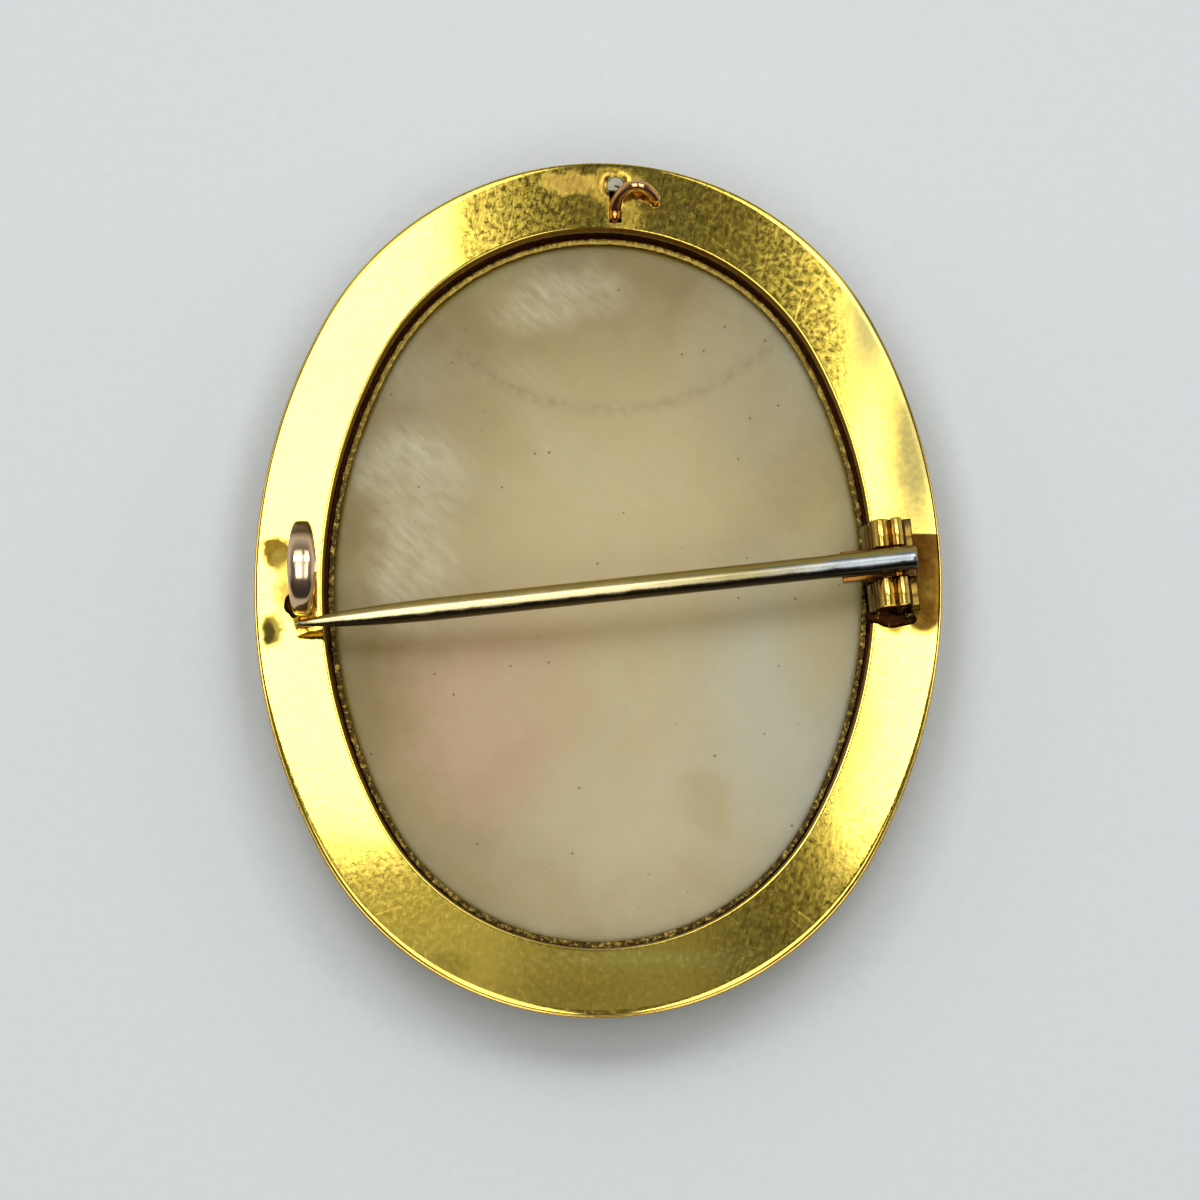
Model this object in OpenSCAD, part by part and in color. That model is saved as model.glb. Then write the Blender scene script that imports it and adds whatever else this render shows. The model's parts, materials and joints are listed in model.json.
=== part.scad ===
// Oval cameo brooch, lying face down: a carved shell in a hollow gold setting.
// X runs along the pin, Y from bottom to top of the oval, +Z out of the back.
// The origin is under the middle of the oval, level with the crest of the front border.

/* [Setting] */
// Width of the oval, along the pin
oval_w = 36.4; // [28:0.1:40]
// Length of the oval, from bottom to top
oval_l = 46; // [42:0.1:60]
// Width of the hollow border, from its outer edge to its inner wall
border_w = 3.72; // [3.4:0.01:4.4]
// Thickness of the sheet that the hollow border is pressed from
sheet = 0.3; // [0.25:0.01:0.5]
// Width of the flat worn along the border's crest
crest_flat = 0.5; // [0.3:0.05:0.8]
// Thickness of the flat back plate
plate_t = 0.4; // [0.35:0.05:0.6]
// How far the back plate stands in from the border's outer edge
plate_inset = 0.25; // [0.1:0.01:0.4]
// Width of the slope filed on the back plate's inner edge
bevel_w = 0.12; // [0.05:0.01:0.3]
// Depth of that slope
bevel_h = 0.3; // [0.1:0.01:0.32]

/* [Cup that holds the shell] */
// Narrow groove between the border's inner wall and the cup
groove_w = 0.18; // [0.12:0.01:0.4]
// Thickness of the cup's wall
cup_t = 0.18; // [0.12:0.01:0.3]
// Thickness of the lip at the front of the cup
lip_t = 0.3; // [0.2:0.01:0.5]
// How far the front lip reaches over the shell
lip_cover = 0.45; // [0.3:0.01:0.8]
// How far the cup's back edge is burnished over the shell
burnish = 0.14; // [0.08:0.01:0.2]
// Gap between the shell and the cup, all round
seat_gap = 0.04; // [0.02:0.01:0.08]

/* [Shell] */
// Depth of the shell's back rim below the back plate's face
shell_depth = 1.7; // [1.2:0.05:2]
// Thickness of the shell at its rim
shell_rim = 1.5; // [1.2:0.05:2]
// How far the shell's ground bulges towards the front
shell_bulge = 0.8; // [0.4:0.05:1]
// How deep the shell's back is hollowed
back_hollow = 0.8; // [0.3:0.05:1]
// Bevel on the shell's back edge
shell_bevel = 0.25; // [0.15:0.01:0.35]
// Width of the shell's plain margin inside the front lip
margin_w = 0.2; // [0.1:0.05:1]
// Height of the carving above the ground, at its highest flower
relief_h = 1.3; // [0.6:0.05:1.6]
// Room between the highest flower and the crest of the border
front_room = 0.7; // [0.3:0.05:1.5]

/* [Hinge] */
// How far the hinge's left flank overhangs the back plate's inner edge
hinge_over = 0.5; // [0:0.05:0.8]
// Place of the hinge above the oval's short axis
hinge_y = 0.95; // [-2:0.05:3]
// Length of each outer knuckle
knuckle_l = 1.475; // [1:0.005:2]
// Height of the outer knuckles above the rivet's centre
ridge_h = 1; // [0.8:0.05:1.2]
// Distance of the rivet's centre past the middle of the fitting
rivet_x = 0.35; // [0.2:0.05:0.5]
// Metal of the outer knuckles beside the rivet
flange_t = 0.53; // [0.4:0.01:0.7]
// Distance of the hinge's left flank from the middle of the fitting
hinge_left = 1.4; // [1.2:0.05:1.7]
// Thickness of the hinge's foot
foot_t = 0.2; // [0.15:0.01:0.4]
// Radius of the rivet
rivet_r = 0.4; // [0.3:0.01:0.5]
// Gap between the rivet and the outer knuckles
rivet_seat = 0.02; // [0.01:0.01:0.03]
// Running gap between the rivet and the pin's knuckle
rivet_run = 0.04; // [0.02:0.01:0.06]
// Gap on each side of the pin's knuckle, and under its heel
knuckle_run = 0.05; // [0.04:0.01:0.1]

/* [Pin] */
// How far the pin slants down towards its point, in degrees
pin_slant = 6; // [0:0.5:7]
// How far the stem dips towards the plate, in degrees
stem_dip = 1.2; // [0:0.1:1.5]
// Metal of the pin's knuckle around its rivet
knuckle_t = 0.46; // [0.3:0.01:0.6]
// Gap between the pin's knuckle and the hinge's foot
foot_gap = 0.2; // [0.1:0.05:0.4]
// Length of the tongue, from the middle of the fitting
tongue_l = 2.7; // [2:0.1:4]
// Thickness of the tongue
tongue_t = 0.75; // [0.5:0.05:0.9]
// Length of the heel that stops the pin on the hinge's foot
heel_l = 0.75; // [0.5:0.05:1]
// Radius of the steel stem
stem_r = 0.6; // [0.45:0.01:0.72]
// How much thicker the stem's soldered tail is, in radius
tail_extra = 0.02; // [0.01:0.01:0.04]
// How far the tail's square end stands past the hinge's flank
tail_out = 0.02; // [0:0.01:0.1]
// How far the tail runs past the tongue
tail_past = 0.3; // [0.1:0.05:1]
// Length of the slight taper between the tail and the stem
neck_l = 0.6; // [0.6:0.05:1.5]
// Length of the tapered point
point_l = 7.2; // [4:0.1:9]
// How far the point reaches past the middle of the catch
point_past = 0.43; // [0:0.01:1.5]
// Gap of solder between the stem and its cradle
cradle_gap = 0.02; // [0.01:0.01:0.04]
// Metal between the rivet and the cradle
cradle_floor = 0.17; // [0.1:0.01:0.4]
// Metal on each side of the cradle
cradle_wall = 0.16; // [0.1:0.01:0.4]
// Height of the cradle's sides above the underside of the stem
cradle_rise = 0.14; // [0.05:0.01:0.5]

/* [Catch] */
// Distance of the catch from the back plate's inner edge
catch_edge = 0.275; // [0:0.005:0.6]
// Distance from the side of the catch to the middle of the resting stem
beside = 0.57; // [0.5:0.01:1]
// Outer radius of the C
catch_r = 2.5; // [2:0.05:3]
// Thickness of the C's strip at its middle
catch_t = 0.55; // [0.4:0.05:0.7]
// Width of the C's strip at its middle
catch_w = 1.45; // [1.1:0.05:1.8]
// Width of the C's strip where it is cut off at each side
waist_w = 0.9; // [0.6:0.05:1]
// How far the C leans outwards, in degrees
catch_lean = 5; // [0:0.5:8]
// Angle of the C's mouth
mouth = 62; // [50:1:75]
// Thickness of the solder foot under the C
catch_foot_t = 0.38; // [0.3:0.01:0.5]
// Length of that foot
catch_foot_l = 2.5; // [2:0.1:3]

/* [Hook and vent] */
// Place of the slot and vent across the oval, from the middle
slot_x = 0.93; // [0.5:0.01:2]
// Width of the slot that the hook rises from
slot_w = 0.66; // [0.6:0.01:0.8]
// Distance of the slot's lower end from the plate's inner edge
slot_edge = 0.25; // [0.2:0.05:0.5]
// Radius of the vent
vent_r = 0.48; // [0.4:0.01:0.5]
// Distance of the vent from the plate's outer edge
vent_edge = 0.58; // [0.3:0.01:0.8]
// How far the vent cuts into the slot's end
vent_lap = 0.19; // [0.1:0.01:0.25]
// Thickness of the plug in the vent
plug_t = 0.34; // [0.2:0.01:0.35]
// Gap around the plug
plug_gap = 0.02; // [0.01:0.01:0.04]
// Radius of the hook's wire
wire_r = 0.25; // [0.2:0.01:0.27]
// Radius of the hook's bend, seen from above
hook_r = 1.15; // [0.9:0.05:1.4]
// Height of the hook's wire over the plate at the middle of its bend
hook_rise = 1.15; // [0.9:0.05:1.5]
// Height of the hook's free end over the plate
hook_end = 0.5; // [0.4:0.05:0.8]
// Depth of the hook's root below the plate's face
hook_root = 0.75; // [0.6:0.05:1]

/* [Hidden] */

eps = 0.01;
gold = "#d8b23c";
rose_gold = "#d99a72";

// The oval is four arcs that meet at tangents, so every ring in it is a parallel oval.
// The line through two arcs' centres has the slope of a triangle with the sides 15, 8
// and 17. Its unit is rounded, which gives all centres and radii few decimals, so that
// neighbouring arcs meet exactly.
JOIN = [15, 8, 17];
half_w = oval_w / 2;
join_unit = round(1000 * (oval_l / 2 - half_w) / (JOIN[0] + JOIN[1] - JOIN[2])) / 1000;
side_x = JOIN[0] * join_unit;
end_y = JOIN[1] * join_unit;
side_r = half_w + side_x;
end_r = side_r - JOIN[2] * join_unit;
half_l = end_y + end_r;
join_a = atan2(JOIN[1], JOIN[0]);
wedge = ceil(oval_l / JOIN[1]);

// Heights follow from what lies above the crest: the carving, the shell and its back rim.
front_rim = front_room + relief_h + shell_bulge;
back_rim = front_rim + shell_rim;
setting_h = back_rim + shell_depth;
plate_z = setting_h - plate_t;

// Section of the setting: u is measured inwards from the outer edge.
dome_r = border_w / 2;
crest_a = asin(crest_flat / 2 / dome_r);
dome_z = dome_r * cos(crest_a);
cup_u = border_w + groove_w;
cup_in = cup_u + cup_t;
girdle_u = cup_in + seat_gap;
lip_z = front_rim - seat_gap - lip_t;
burnish_z = back_rim + shell_bevel / 2;
cup_top = burnish_z + burnish;

// Half sizes of the shell, and the margin that stays free of carving.
shell_w = half_w - girdle_u;
shell_l = half_l - girdle_u;
margin = lip_cover + margin_w;

// The pin's knuckle clears the foot, and the stem lies in its cradle above the rivet.
knuckle_r = rivet_r + rivet_run + knuckle_t;
rivet_h = foot_t + foot_gap + knuckle_r;
tail_r = stem_r + tail_extra;
cradle_r = tail_r + cradle_gap;
stem_h = rivet_h + rivet_r + rivet_run + cradle_floor + cradle_r;
tongue_w = 2 * (cradle_r + cradle_wall);
tongue_top = stem_h - tail_r + cradle_rise;
knuckle_gap = tongue_w + 2 * knuckle_run;
hinge_l = knuckle_gap + 2 * knuckle_l;
hinge_right = rivet_x + rivet_r + rivet_seat + flange_t;
tail_l = hinge_right + tail_out;
tail_end = tongue_l + tail_past;
neck_end = tail_end + neck_l;

// The hinge and the catch stand on the border at the pin's two ends. The catch lies
// beside the resting stem, and the point reaches just past it.
plate_in = half_w - border_w + bevel_w;
hinge_x = plate_in + hinge_left - hinge_over;
catch_x = plate_in + catch_edge + catch_w / 2;
span = hinge_x + catch_x;
catch_y = hinge_y - span * tan(pin_slant) + beside + catch_r;
stem_l = span / cos(pin_slant) + point_past;

function oval_radius(a, in) =
    let (
        c = abs(cos(a)),
        s = abs(sin(a)),
        re = end_r - in,
        rs = side_r - in,
        t = s * end_y + sqrt(pow(s * end_y, 2) - end_y * end_y + re * re)
    )
    atan2(t * s - end_y, t * c) >= join_a
        ? t
        : -c * side_x + sqrt(pow(c * side_x, 2) - side_x * side_x + rs * rs);

// A ring of the section, cut to the wedge between two rays from its centre.
module arc_of_oval(centre, r, ray_a, ray_b) {
    intersection() {
        translate([centre[0], centre[1], 0])
            rotate_extrude($fn = 360)
                translate([r, 0])
                    children();
        translate([0, 0, -eps])
            linear_extrude(setting_h + 2 * eps)
                polygon([
                    centre,
                    centre + wedge * ray_a,
                    centre + wedge * (ray_a + ray_b),
                    centre + wedge * ray_b
                ]);
    }
}

// Sweeps a section round the oval. Its x is the distance from the outer edge, negative inwards.
module sweep_oval() {
    for (s = [-1, 1]) {
        arc_of_oval([-s * side_x, 0], side_r, [s * JOIN[0], JOIN[1]], [s * JOIN[0], -JOIN[1]])
            children();
        arc_of_oval([0, s * end_y], end_r, [JOIN[0], s * JOIN[1]], [-JOIN[0], s * JOIN[1]])
            children();
    }
}

// Points along an arc, from angle a0 to angle a1.
function arc(x, z, r, a0, a1, steps) = [
    for (i = [0 : steps])
        let (a = a0 + (a1 - a0) * i / steps)
        [x + r * cos(a), z + r * sin(a)]
];

module border_outer() {
    polygon(concat(
        [[0, plate_z]],
        arc(-dome_r, dome_z, dome_r, 0, crest_a - 90, 9),
        arc(-dome_r, dome_z, dome_r, -90 - crest_a, -180, 9),
        [[-border_w, plate_z]]
    ));
}

module border_void() {
    polygon(concat(
        [[-sheet, plate_z]],
        arc(-dome_r, dome_z, dome_r - sheet, 0, -180, 16),
        [[sheet - border_w, plate_z]]
    ));
}

module back_plate_2d() {
    polygon([
        [-plate_inset, plate_z],
        [-plate_inset, setting_h],
        [bevel_w - border_w, setting_h],
        [-border_w, setting_h - bevel_h],
        [-border_w, plate_z]
    ]);
}

module cup_2d() {
    lip_x = lip_t / 2 - girdle_u - lip_cover;
    polygon(concat(
        [[eps - border_w, lip_z]],
        arc(lip_x, lip_z + lip_t / 2, lip_t / 2, -90, -270, 8),
        [
            [-cup_in, lip_z + lip_t],
            [-cup_in, burnish_z],
            [-cup_in - burnish, cup_top - burnish / 2],
            [-cup_in - burnish, cup_top],
            [-cup_u, cup_top],
            [-cup_u, lip_z + lip_t],
            [eps - border_w, lip_z + lip_t]
        ]
    ));
}

module section_2d() {
    difference() {
        border_outer();
        border_void();
    }
    back_plate_2d();
    cup_2d();
}

// The slot and the vent share the plate's width at the top of the oval.
slot_y0 = oval_radius(90, border_w - bevel_w) + slot_edge;
vent_y = oval_radius(90, plate_inset) - vent_edge - vent_r;
slot_y1 = vent_y - vent_r + vent_lap;

module mount() {
    color(gold)
        difference() {
            sweep_oval()
                section_2d();
            translate([slot_x - slot_w / 2, slot_y0, plate_z - eps])
                cube([slot_w, slot_y1 - slot_y0, plate_t + 2 * eps]);
            translate([slot_x, vent_y, plate_z - eps])
                cylinder(r = vent_r, h = plate_t + 2 * eps, $fn = 64);
        }
}

// The plug's lower side is cut off level with the slot's end.
module vent_plug() {
    color("#a8a38c")
        difference() {
            translate([slot_x, vent_y, plate_z])
                cylinder(r = vent_r - plug_gap, h = plug_t, $fn = 64);
            translate([slot_x - vent_r, slot_y1 + plug_gap - 2 * vent_r, plate_z - eps])
                cube([2 * vent_r, 2 * vent_r, plug_t + 2 * eps]);
        }
}

// Carving: flowers and leaves, all sizes as shares of the shell's half width,
// places as shares of its half width and half length, heights as shares of relief_h.
FLOWERS = [
    // across, along, petals, turn, radius, height
    [0.02, 0.08, 6, 10, 0.36, 1.00],
    [0.40, -0.36, 5, 24, 0.20, 0.66],
    [-0.38, 0.46, 5, 50, 0.19, 0.62],
    [-0.30, -0.44, 5, 4, 0.16, 0.58],
    [0.34, 0.54, 5, 30, 0.14, 0.52]
];
LEAVES = [
    // across, along, direction, length, width, height
    [0.26, 0.24, 38, 0.50, 0.22, 0.50],
    [-0.20, 0.28, 118, 0.56, 0.22, 0.50],
    [-0.30, 0.04, 172, 0.44, 0.22, 0.46],
    [-0.26, -0.10, 214, 0.50, 0.22, 0.48],
    [-0.06, -0.18, 252, 0.62, 0.24, 0.50],
    [0.14, -0.16, 286, 0.66, 0.24, 0.50],
    [0.32, 0.00, 340, 0.44, 0.22, 0.46],
    [0.10, 0.36, 74, 0.52, 0.22, 0.46]
];

// Rings of petals in each flower: its radius is the unit, and the first ring has all petals.
PETAL_RINGS = [
    // petals fewer, turn, distance out, petal radius, height
    [0, 0, 0.60, 0.40, 0.72],
    [1, 20, 0.32, 0.30, 0.88]
];
heart_r = 0.26;
petal_spread = 1.15;
leaf_blunt = 1.15;
leaf_taper = 0.35;
relief_fade = 6;

// Height of a rounded scale: u and v are 0 at its middle and 1 at its edge.
function scale_h(u, v) =
    let (q = u * u + v * v)
    q >= 1 ? 0 : sqrt(1 - q);

// Rings of petals round x = y = 0, for a flower of n petals and radius 1.
function petals_h(x, y, n, turn) =
    max([
        for (ring = PETAL_RINGS)
            let (count = n - ring[0])
            for (i = [0 : count - 1])
                let (
                    a = turn + ring[1] + i * 360 / count,
                    along = x * cos(a) + y * sin(a) - ring[2],
                    across = y * cos(a) - x * sin(a)
                )
                ring[4] * scale_h(along / ring[3], across / (ring[3] * petal_spread))
    ]);

function flower_h(x, y, f) =
    let (
        r = f[4] * shell_w,
        u = (x - f[0] * shell_w) / r,
        v = (y - f[1] * shell_l) / r
    )
    norm([u, v]) > 1 ? 0 : f[5] * max(petals_h(u, v, f[2], f[3]), scale_h(u / heart_r, v / heart_r));

function leaf_h(x, y, f) =
    let (
        u = x - f[0] * shell_w,
        v = y - f[1] * shell_l,
        half = f[3] * shell_w / 2,
        along = (u * cos(f[2]) + v * sin(f[2]) - half) / half,
        across = (v * cos(f[2]) - u * sin(f[2])) / (f[4] * shell_w / 2)
    )
    f[5] * scale_h(along, across * (leaf_blunt + leaf_taper * along));

function relief(x, y) =
    relief_h * max([
        for (f = FLOWERS) flower_h(x, y, f),
        for (f = LEAVES) leaf_h(x, y, f)
    ]);

// The shell as rings of points: in is the distance in from the girdle, f shrinks that ring.
spokes = 80;
front_rings = 20;
back_rings = 5;

function ring(in, f) = [
    for (i = [0 : spokes - 1])
        let (
            a = i * 360 / spokes,
            r = f * oval_radius(a, girdle_u + in)
        )
        [r * cos(a), r * sin(a)]
];

function lift(points, z) = [for (p = points) [p[0], p[1], z]];

function front_z(p, f) =
    front_rim - shell_bulge * (1 - f * f) - relief(p[0], p[1]) * min(1, relief_fade * (1 - f));

shell_rings = [
    for (k = [1 : back_rings])
        let (f = k / back_rings)
        lift(ring(margin, f), back_rim - back_hollow * (1 - f * f)),
    lift(ring(shell_bevel, 1), back_rim),
    lift(ring(0, 1), back_rim - shell_bevel),
    lift(ring(0, 1), front_rim),
    for (k = [front_rings : -1 : 1])
        let (f = k / front_rings)
        [for (p = ring(margin, f)) [p[0], p[1], front_z(p, f)]]
];

module cameo() {
    rows = len(shell_rings);
    last = rows * spokes;
    points = concat(
        [for (r = shell_rings) each r],
        [
            [0, 0, back_rim - back_hollow],
            [0, 0, front_z([0, 0], 0)]
        ]
    );
    walls = [
        for (j = [0 : rows - 2], i = [0 : spokes - 1])
            let (
                n = (i + 1) % spokes,
                a = j * spokes + i,
                b = j * spokes + n,
                c = a + spokes,
                d = b + spokes
            )
            each [[a, b, c], [b, d, c]]
    ];
    middles = [
        for (i = [0 : spokes - 1])
            let (n = (i + 1) % spokes)
            each [[last, n, i], [last + 1, last - spokes + i, last - spokes + n]]
    ];
    color("#ead9c4")
        polyhedron(points, concat(walls, middles));
}

// Hook: a wire whose route turns half round hook_r while it rises and falls.
hook_turn = 175;
hook_start = 195;
hook_x = slot_x - hook_r * cos(hook_start);
hook_y = slot_y0 + slot_w / 2 - hook_r * sin(hook_start);
hook_steps = 16;
wire_sides = 10;

// The wire's height at share s of its route passes root, rise and end.
hook_bend = 4 * hook_rise + 3 * hook_root - hook_end;
hook_fall = hook_end + hook_root - hook_bend;

function hook_point(s) =
    let (a = hook_start - hook_turn * s)
    [
        hook_x + hook_r * cos(a),
        hook_y + hook_r * sin(a),
        setting_h - hook_root + hook_bend * s + hook_fall * s * s
    ];

function unit(v) = v / norm(v);

function wire_ring(s) =
    let (
        p = hook_point(s),
        t = unit(hook_point(s + eps) - hook_point(s - eps)),
        side = unit(cross(t, [0, 0, 1])),
        up = cross(side, t)
    )
    [
        for (i = [0 : wire_sides - 1])
            let (a = i * 360 / wire_sides)
            p + wire_r * (cos(a) * side + sin(a) * up)
    ];

module wire_hook() {
    points = [for (k = [0 : hook_steps]) each wire_ring(k / hook_steps)];
    top = hook_steps * wire_sides;
    walls = [
        for (k = [0 : hook_steps - 1], i = [0 : wire_sides - 1])
            let (
                n = (i + 1) % wire_sides,
                a = k * wire_sides + i,
                b = k * wire_sides + n,
                c = a + wire_sides,
                d = b + wire_sides
            )
            each [[a, b, c], [b, d, c]]
    ];
    ends = [
        [for (i = [wire_sides - 1 : -1 : 0]) i],
        [for (i = [0 : wire_sides - 1]) top + i]
    ];
    color(rose_gold)
        polyhedron(points, concat(walls, ends));
}

// The C is a turned ring, opened at its mouth and cut to a leaf's outline seen from above.
leaf_r = (catch_r * catch_r + pow((catch_w - waist_w) / 2, 2)) / (catch_w - waist_w);

module leaf_outline() {
    intersection_for (side = [-1, 1])
        translate([side * (leaf_r - catch_w / 2), 0])
            circle(r = leaf_r, $fn = 360);
}

module c_ring() {
    translate([0, 0, catch_r])
        rotate([90, 0, 90])
            rotate([0, 0, -90])
                rotate_extrude(angle = 360 - mouth, $fn = 180)
                    intersection() {
                        translate([catch_r - catch_w, 0])
                            circle(r = catch_w, $fn = 180);
                        translate([catch_r - catch_t, -catch_w])
                            square([catch_t, 2 * catch_w]);
                    }
}

module c_catch() {
    lean_dip = catch_w / 2 * sin(catch_lean);
    color(rose_gold)
        translate([-catch_x, catch_y, setting_h]) {
            rotate([0, -catch_lean, 0])
                intersection() {
                    c_ring();
                    translate([0, 0, lean_dip])
                        linear_extrude(2 * catch_r)
                            leaf_outline();
                }
            linear_extrude(catch_foot_t)
                intersection() {
                    leaf_outline();
                    square([2 * catch_w, catch_foot_l], center = true);
                }
        }
}

// Everything on the pin is drawn in the fitting's own frame, with the stem along -x.
module at_hinge() {
    translate([hinge_x, hinge_y, setting_h])
        rotate([0, 0, pin_slant])
            children();
}

module along_rivet(r, l) {
    translate([rivet_x, l / 2, rivet_h])
        rotate([90, 0, 0])
            cylinder(r = r, h = l, $fn = 64);
}

// The outer knuckles' section: two worn ridges on top, and a shoulder on the right.
RIDGES = [
    // place across, radius
    [-0.42, 0.45],
    [0.42, 0.31]
];
ridge_top = rivet_h + ridge_h;
shoulder_z = rivet_h + 0.15;
shoulder_in = 0.1;
flank_lean = 0.06;

module knuckle_2d() {
    left = RIDGES[0];
    right = RIDGES[1];
    difference() {
        union() {
            polygon([
                [-hinge_left, 0],
                [-hinge_left, foot_t],
                [left[0] - left[1], ridge_top - left[1]],
                [right[0] + right[1], ridge_top - left[1]],
                [right[0] + right[1] + shoulder_in, shoulder_z],
                [hinge_right - flank_lean, shoulder_z],
                [hinge_right, foot_t],
                [hinge_right, 0]
            ]);
            for (r = RIDGES)
                translate([r[0], ridge_top - r[1]])
                    circle(r = r[1], $fn = 64);
        }
        translate([rivet_x, rivet_h])
            circle(r = rivet_r + rivet_seat, $fn = 64);
    }
}

module hinge_base() {
    color(gold)
        at_hinge() {
            for (y = [-hinge_l / 2, knuckle_gap / 2])
                translate([0, y + knuckle_l, 0])
                    rotate([90, 0, 0])
                        linear_extrude(knuckle_l)
                            knuckle_2d();
            translate([-hinge_left, -hinge_l / 2, 0])
                cube([hinge_left + hinge_right, hinge_l, foot_t]);
        }
}

module hinge_rivet() {
    color(gold)
        at_hinge()
            along_rivet(rivet_r, hinge_l);
}

// The stem lies along -x and dips towards its point.
module on_stem() {
    translate([0, 0, stem_h])
        rotate([0, -90 - stem_dip, 0])
            children();
}

module pin_tongue() {
    heel_z = foot_t + knuckle_run;
    color(gold)
        at_hinge()
            difference() {
                union() {
                    along_rivet(knuckle_r, tongue_w);
                    translate([-tongue_l, -tongue_w / 2, tongue_top - tongue_t])
                        cube([tongue_l + rivet_x, tongue_w, tongue_t]);
                    translate([-heel_l, -tongue_w / 2, heel_z])
                        cube([heel_l, tongue_w, tongue_top - heel_z]);
                }
                along_rivet(rivet_r + rivet_run, tongue_w + 2 * eps);
                on_stem()
                    translate([0, 0, -2 * tail_l])
                        cylinder(r = cradle_r, h = 2 * (tail_l + tongue_l), $fn = 64);
            }
}

// The stem: its tail is a hair thicker than the stretch that goes through the cloth.
POINT = [
    // share of the point's length, share of the stem's radius
    [0, 1],
    [0.60, 0.72],
    [0.88, 0.40],
    [1, 0.10]
];

module pin_stem() {
    color("#9a9784")
        at_hinge()
            on_stem() {
                translate([0, 0, -tail_l])
                    cylinder(r = tail_r, h = tail_l + tail_end, $fn = 64);
                translate([0, 0, tail_end])
                    cylinder(r1 = tail_r, r2 = stem_r, h = neck_l, $fn = 64);
                translate([0, 0, neck_end])
                    cylinder(r = stem_r, h = stem_l - point_l - neck_end, $fn = 64);
                for (k = [1 : len(POINT) - 1])
                    translate([0, 0, stem_l - point_l * (1 - POINT[k - 1][0])])
                        cylinder(
                            r1 = stem_r * POINT[k - 1][1],
                            r2 = stem_r * POINT[k][1],
                            h = point_l * (POINT[k][0] - POINT[k - 1][0]),
                            $fn = 64
                        );
            }
}

mount();
cameo();
vent_plug();
wire_hook();
c_catch();
hinge_base();
hinge_rivet();
pin_tongue();
pin_stem();
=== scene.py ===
import json
from math import atan2, ceil, cos, pi, radians, sin, sqrt

import bmesh
import bpy
import numpy as np
from mathutils import Matrix, Vector, noise


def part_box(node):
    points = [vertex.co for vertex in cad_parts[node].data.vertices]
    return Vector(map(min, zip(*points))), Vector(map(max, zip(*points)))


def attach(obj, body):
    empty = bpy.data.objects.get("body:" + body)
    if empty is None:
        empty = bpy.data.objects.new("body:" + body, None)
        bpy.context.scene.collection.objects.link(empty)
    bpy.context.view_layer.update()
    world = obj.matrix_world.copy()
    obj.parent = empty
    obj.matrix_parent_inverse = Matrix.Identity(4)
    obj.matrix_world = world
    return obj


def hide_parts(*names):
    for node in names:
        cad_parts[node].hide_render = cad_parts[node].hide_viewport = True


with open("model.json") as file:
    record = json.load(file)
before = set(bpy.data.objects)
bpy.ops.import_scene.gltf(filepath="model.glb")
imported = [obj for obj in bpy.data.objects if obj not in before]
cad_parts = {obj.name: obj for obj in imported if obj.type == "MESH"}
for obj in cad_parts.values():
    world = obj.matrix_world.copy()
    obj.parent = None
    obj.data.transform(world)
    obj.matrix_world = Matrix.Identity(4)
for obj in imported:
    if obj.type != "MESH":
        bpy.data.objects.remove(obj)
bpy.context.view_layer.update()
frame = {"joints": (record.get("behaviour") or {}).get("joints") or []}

# Border: the hollow front of the setting. It is pressed from thin yellow gold sheet into a
# half-round dome that runs round the shell, and the brooch lies on its crest, face down. Its
# outer wall leans in a little from the rim to the dome.
MM = 0.001
half_w, half_l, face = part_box("mount")[1] / MM
sheet = 0.3
border_w = 3.72
plate_under = face - 0.4
crest_flat = 0.5
dome_r = border_w / 2
dome_z = sqrt(dome_r**2 - (crest_flat / 2) ** 2)
wall_lean = 0.6

# The oval is four arcs that meet at tangents, where its edge faces along the long side
# of a triangle with the sides 8, 15 and 17.
oval_unit = (half_l - half_w) / (15 + 8 - 17)
side_x = 15 * oval_unit
end_y = 8 * oval_unit
side_r = half_w + side_x
end_r = half_l - end_y
join_turn = atan2(8, 15)


def oval(turn, inward, height):
    """Points where the oval faces turn, in radians, that far in from its edge and that high."""
    on_side = np.abs(np.sin(turn)) < sin(join_turn)
    radius = np.where(on_side, side_r, end_r) - inward
    x = radius * np.cos(turn) - np.where(on_side, side_x * np.sign(np.cos(turn)), 0)
    y = radius * np.sin(turn) + np.where(on_side, 0, end_y * np.sign(np.sin(turn)))
    return np.stack([x, y, height + 0 * x], -1)


def around(step):
    """The turns of a ring's rows, in a column, with that many degrees between them."""
    return np.radians(np.arange(0, 360, step))[:, None]


def eased(outline, radius, steps=3, nearly_straight=-0.9):
    """A closed outline whose sharp corners are eased off by small curves."""
    outline = [Vector(p) for p in outline]
    points = []
    for i, corner in enumerate(outline):
        before = outline[i - 1] - corner
        after = outline[(i + 1) % len(outline)] - corner
        back, on = before.normalized(), after.normalized()
        if before.length * after.length == 0 or back.dot(on) < nearly_straight:
            points.append(corner)
            continue
        start = corner + back * min(radius, before.length * 0.45)
        end = corner + on * min(radius, after.length * 0.45)
        for k in range(steps + 1):
            t = k / steps
            points.append(start.lerp(corner, t).lerp(corner.lerp(end, t), t))
    return points


def divided(outline, step):
    """A closed outline as an array, with points added so that no stretch is longer than step."""
    outline = [Vector(p) for p in outline]
    points = []
    for a, b in zip(outline, outline[1:] + outline[:1]):
        count = max(1, ceil((b - a).length / step))
        points += [a.lerp(b, k / count) for k in range(count)]
    return np.array(points)


def shade(mesh):
    mesh.shade_smooth()
    mesh.set_sharp_from_angle(angle=radians(40))


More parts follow.
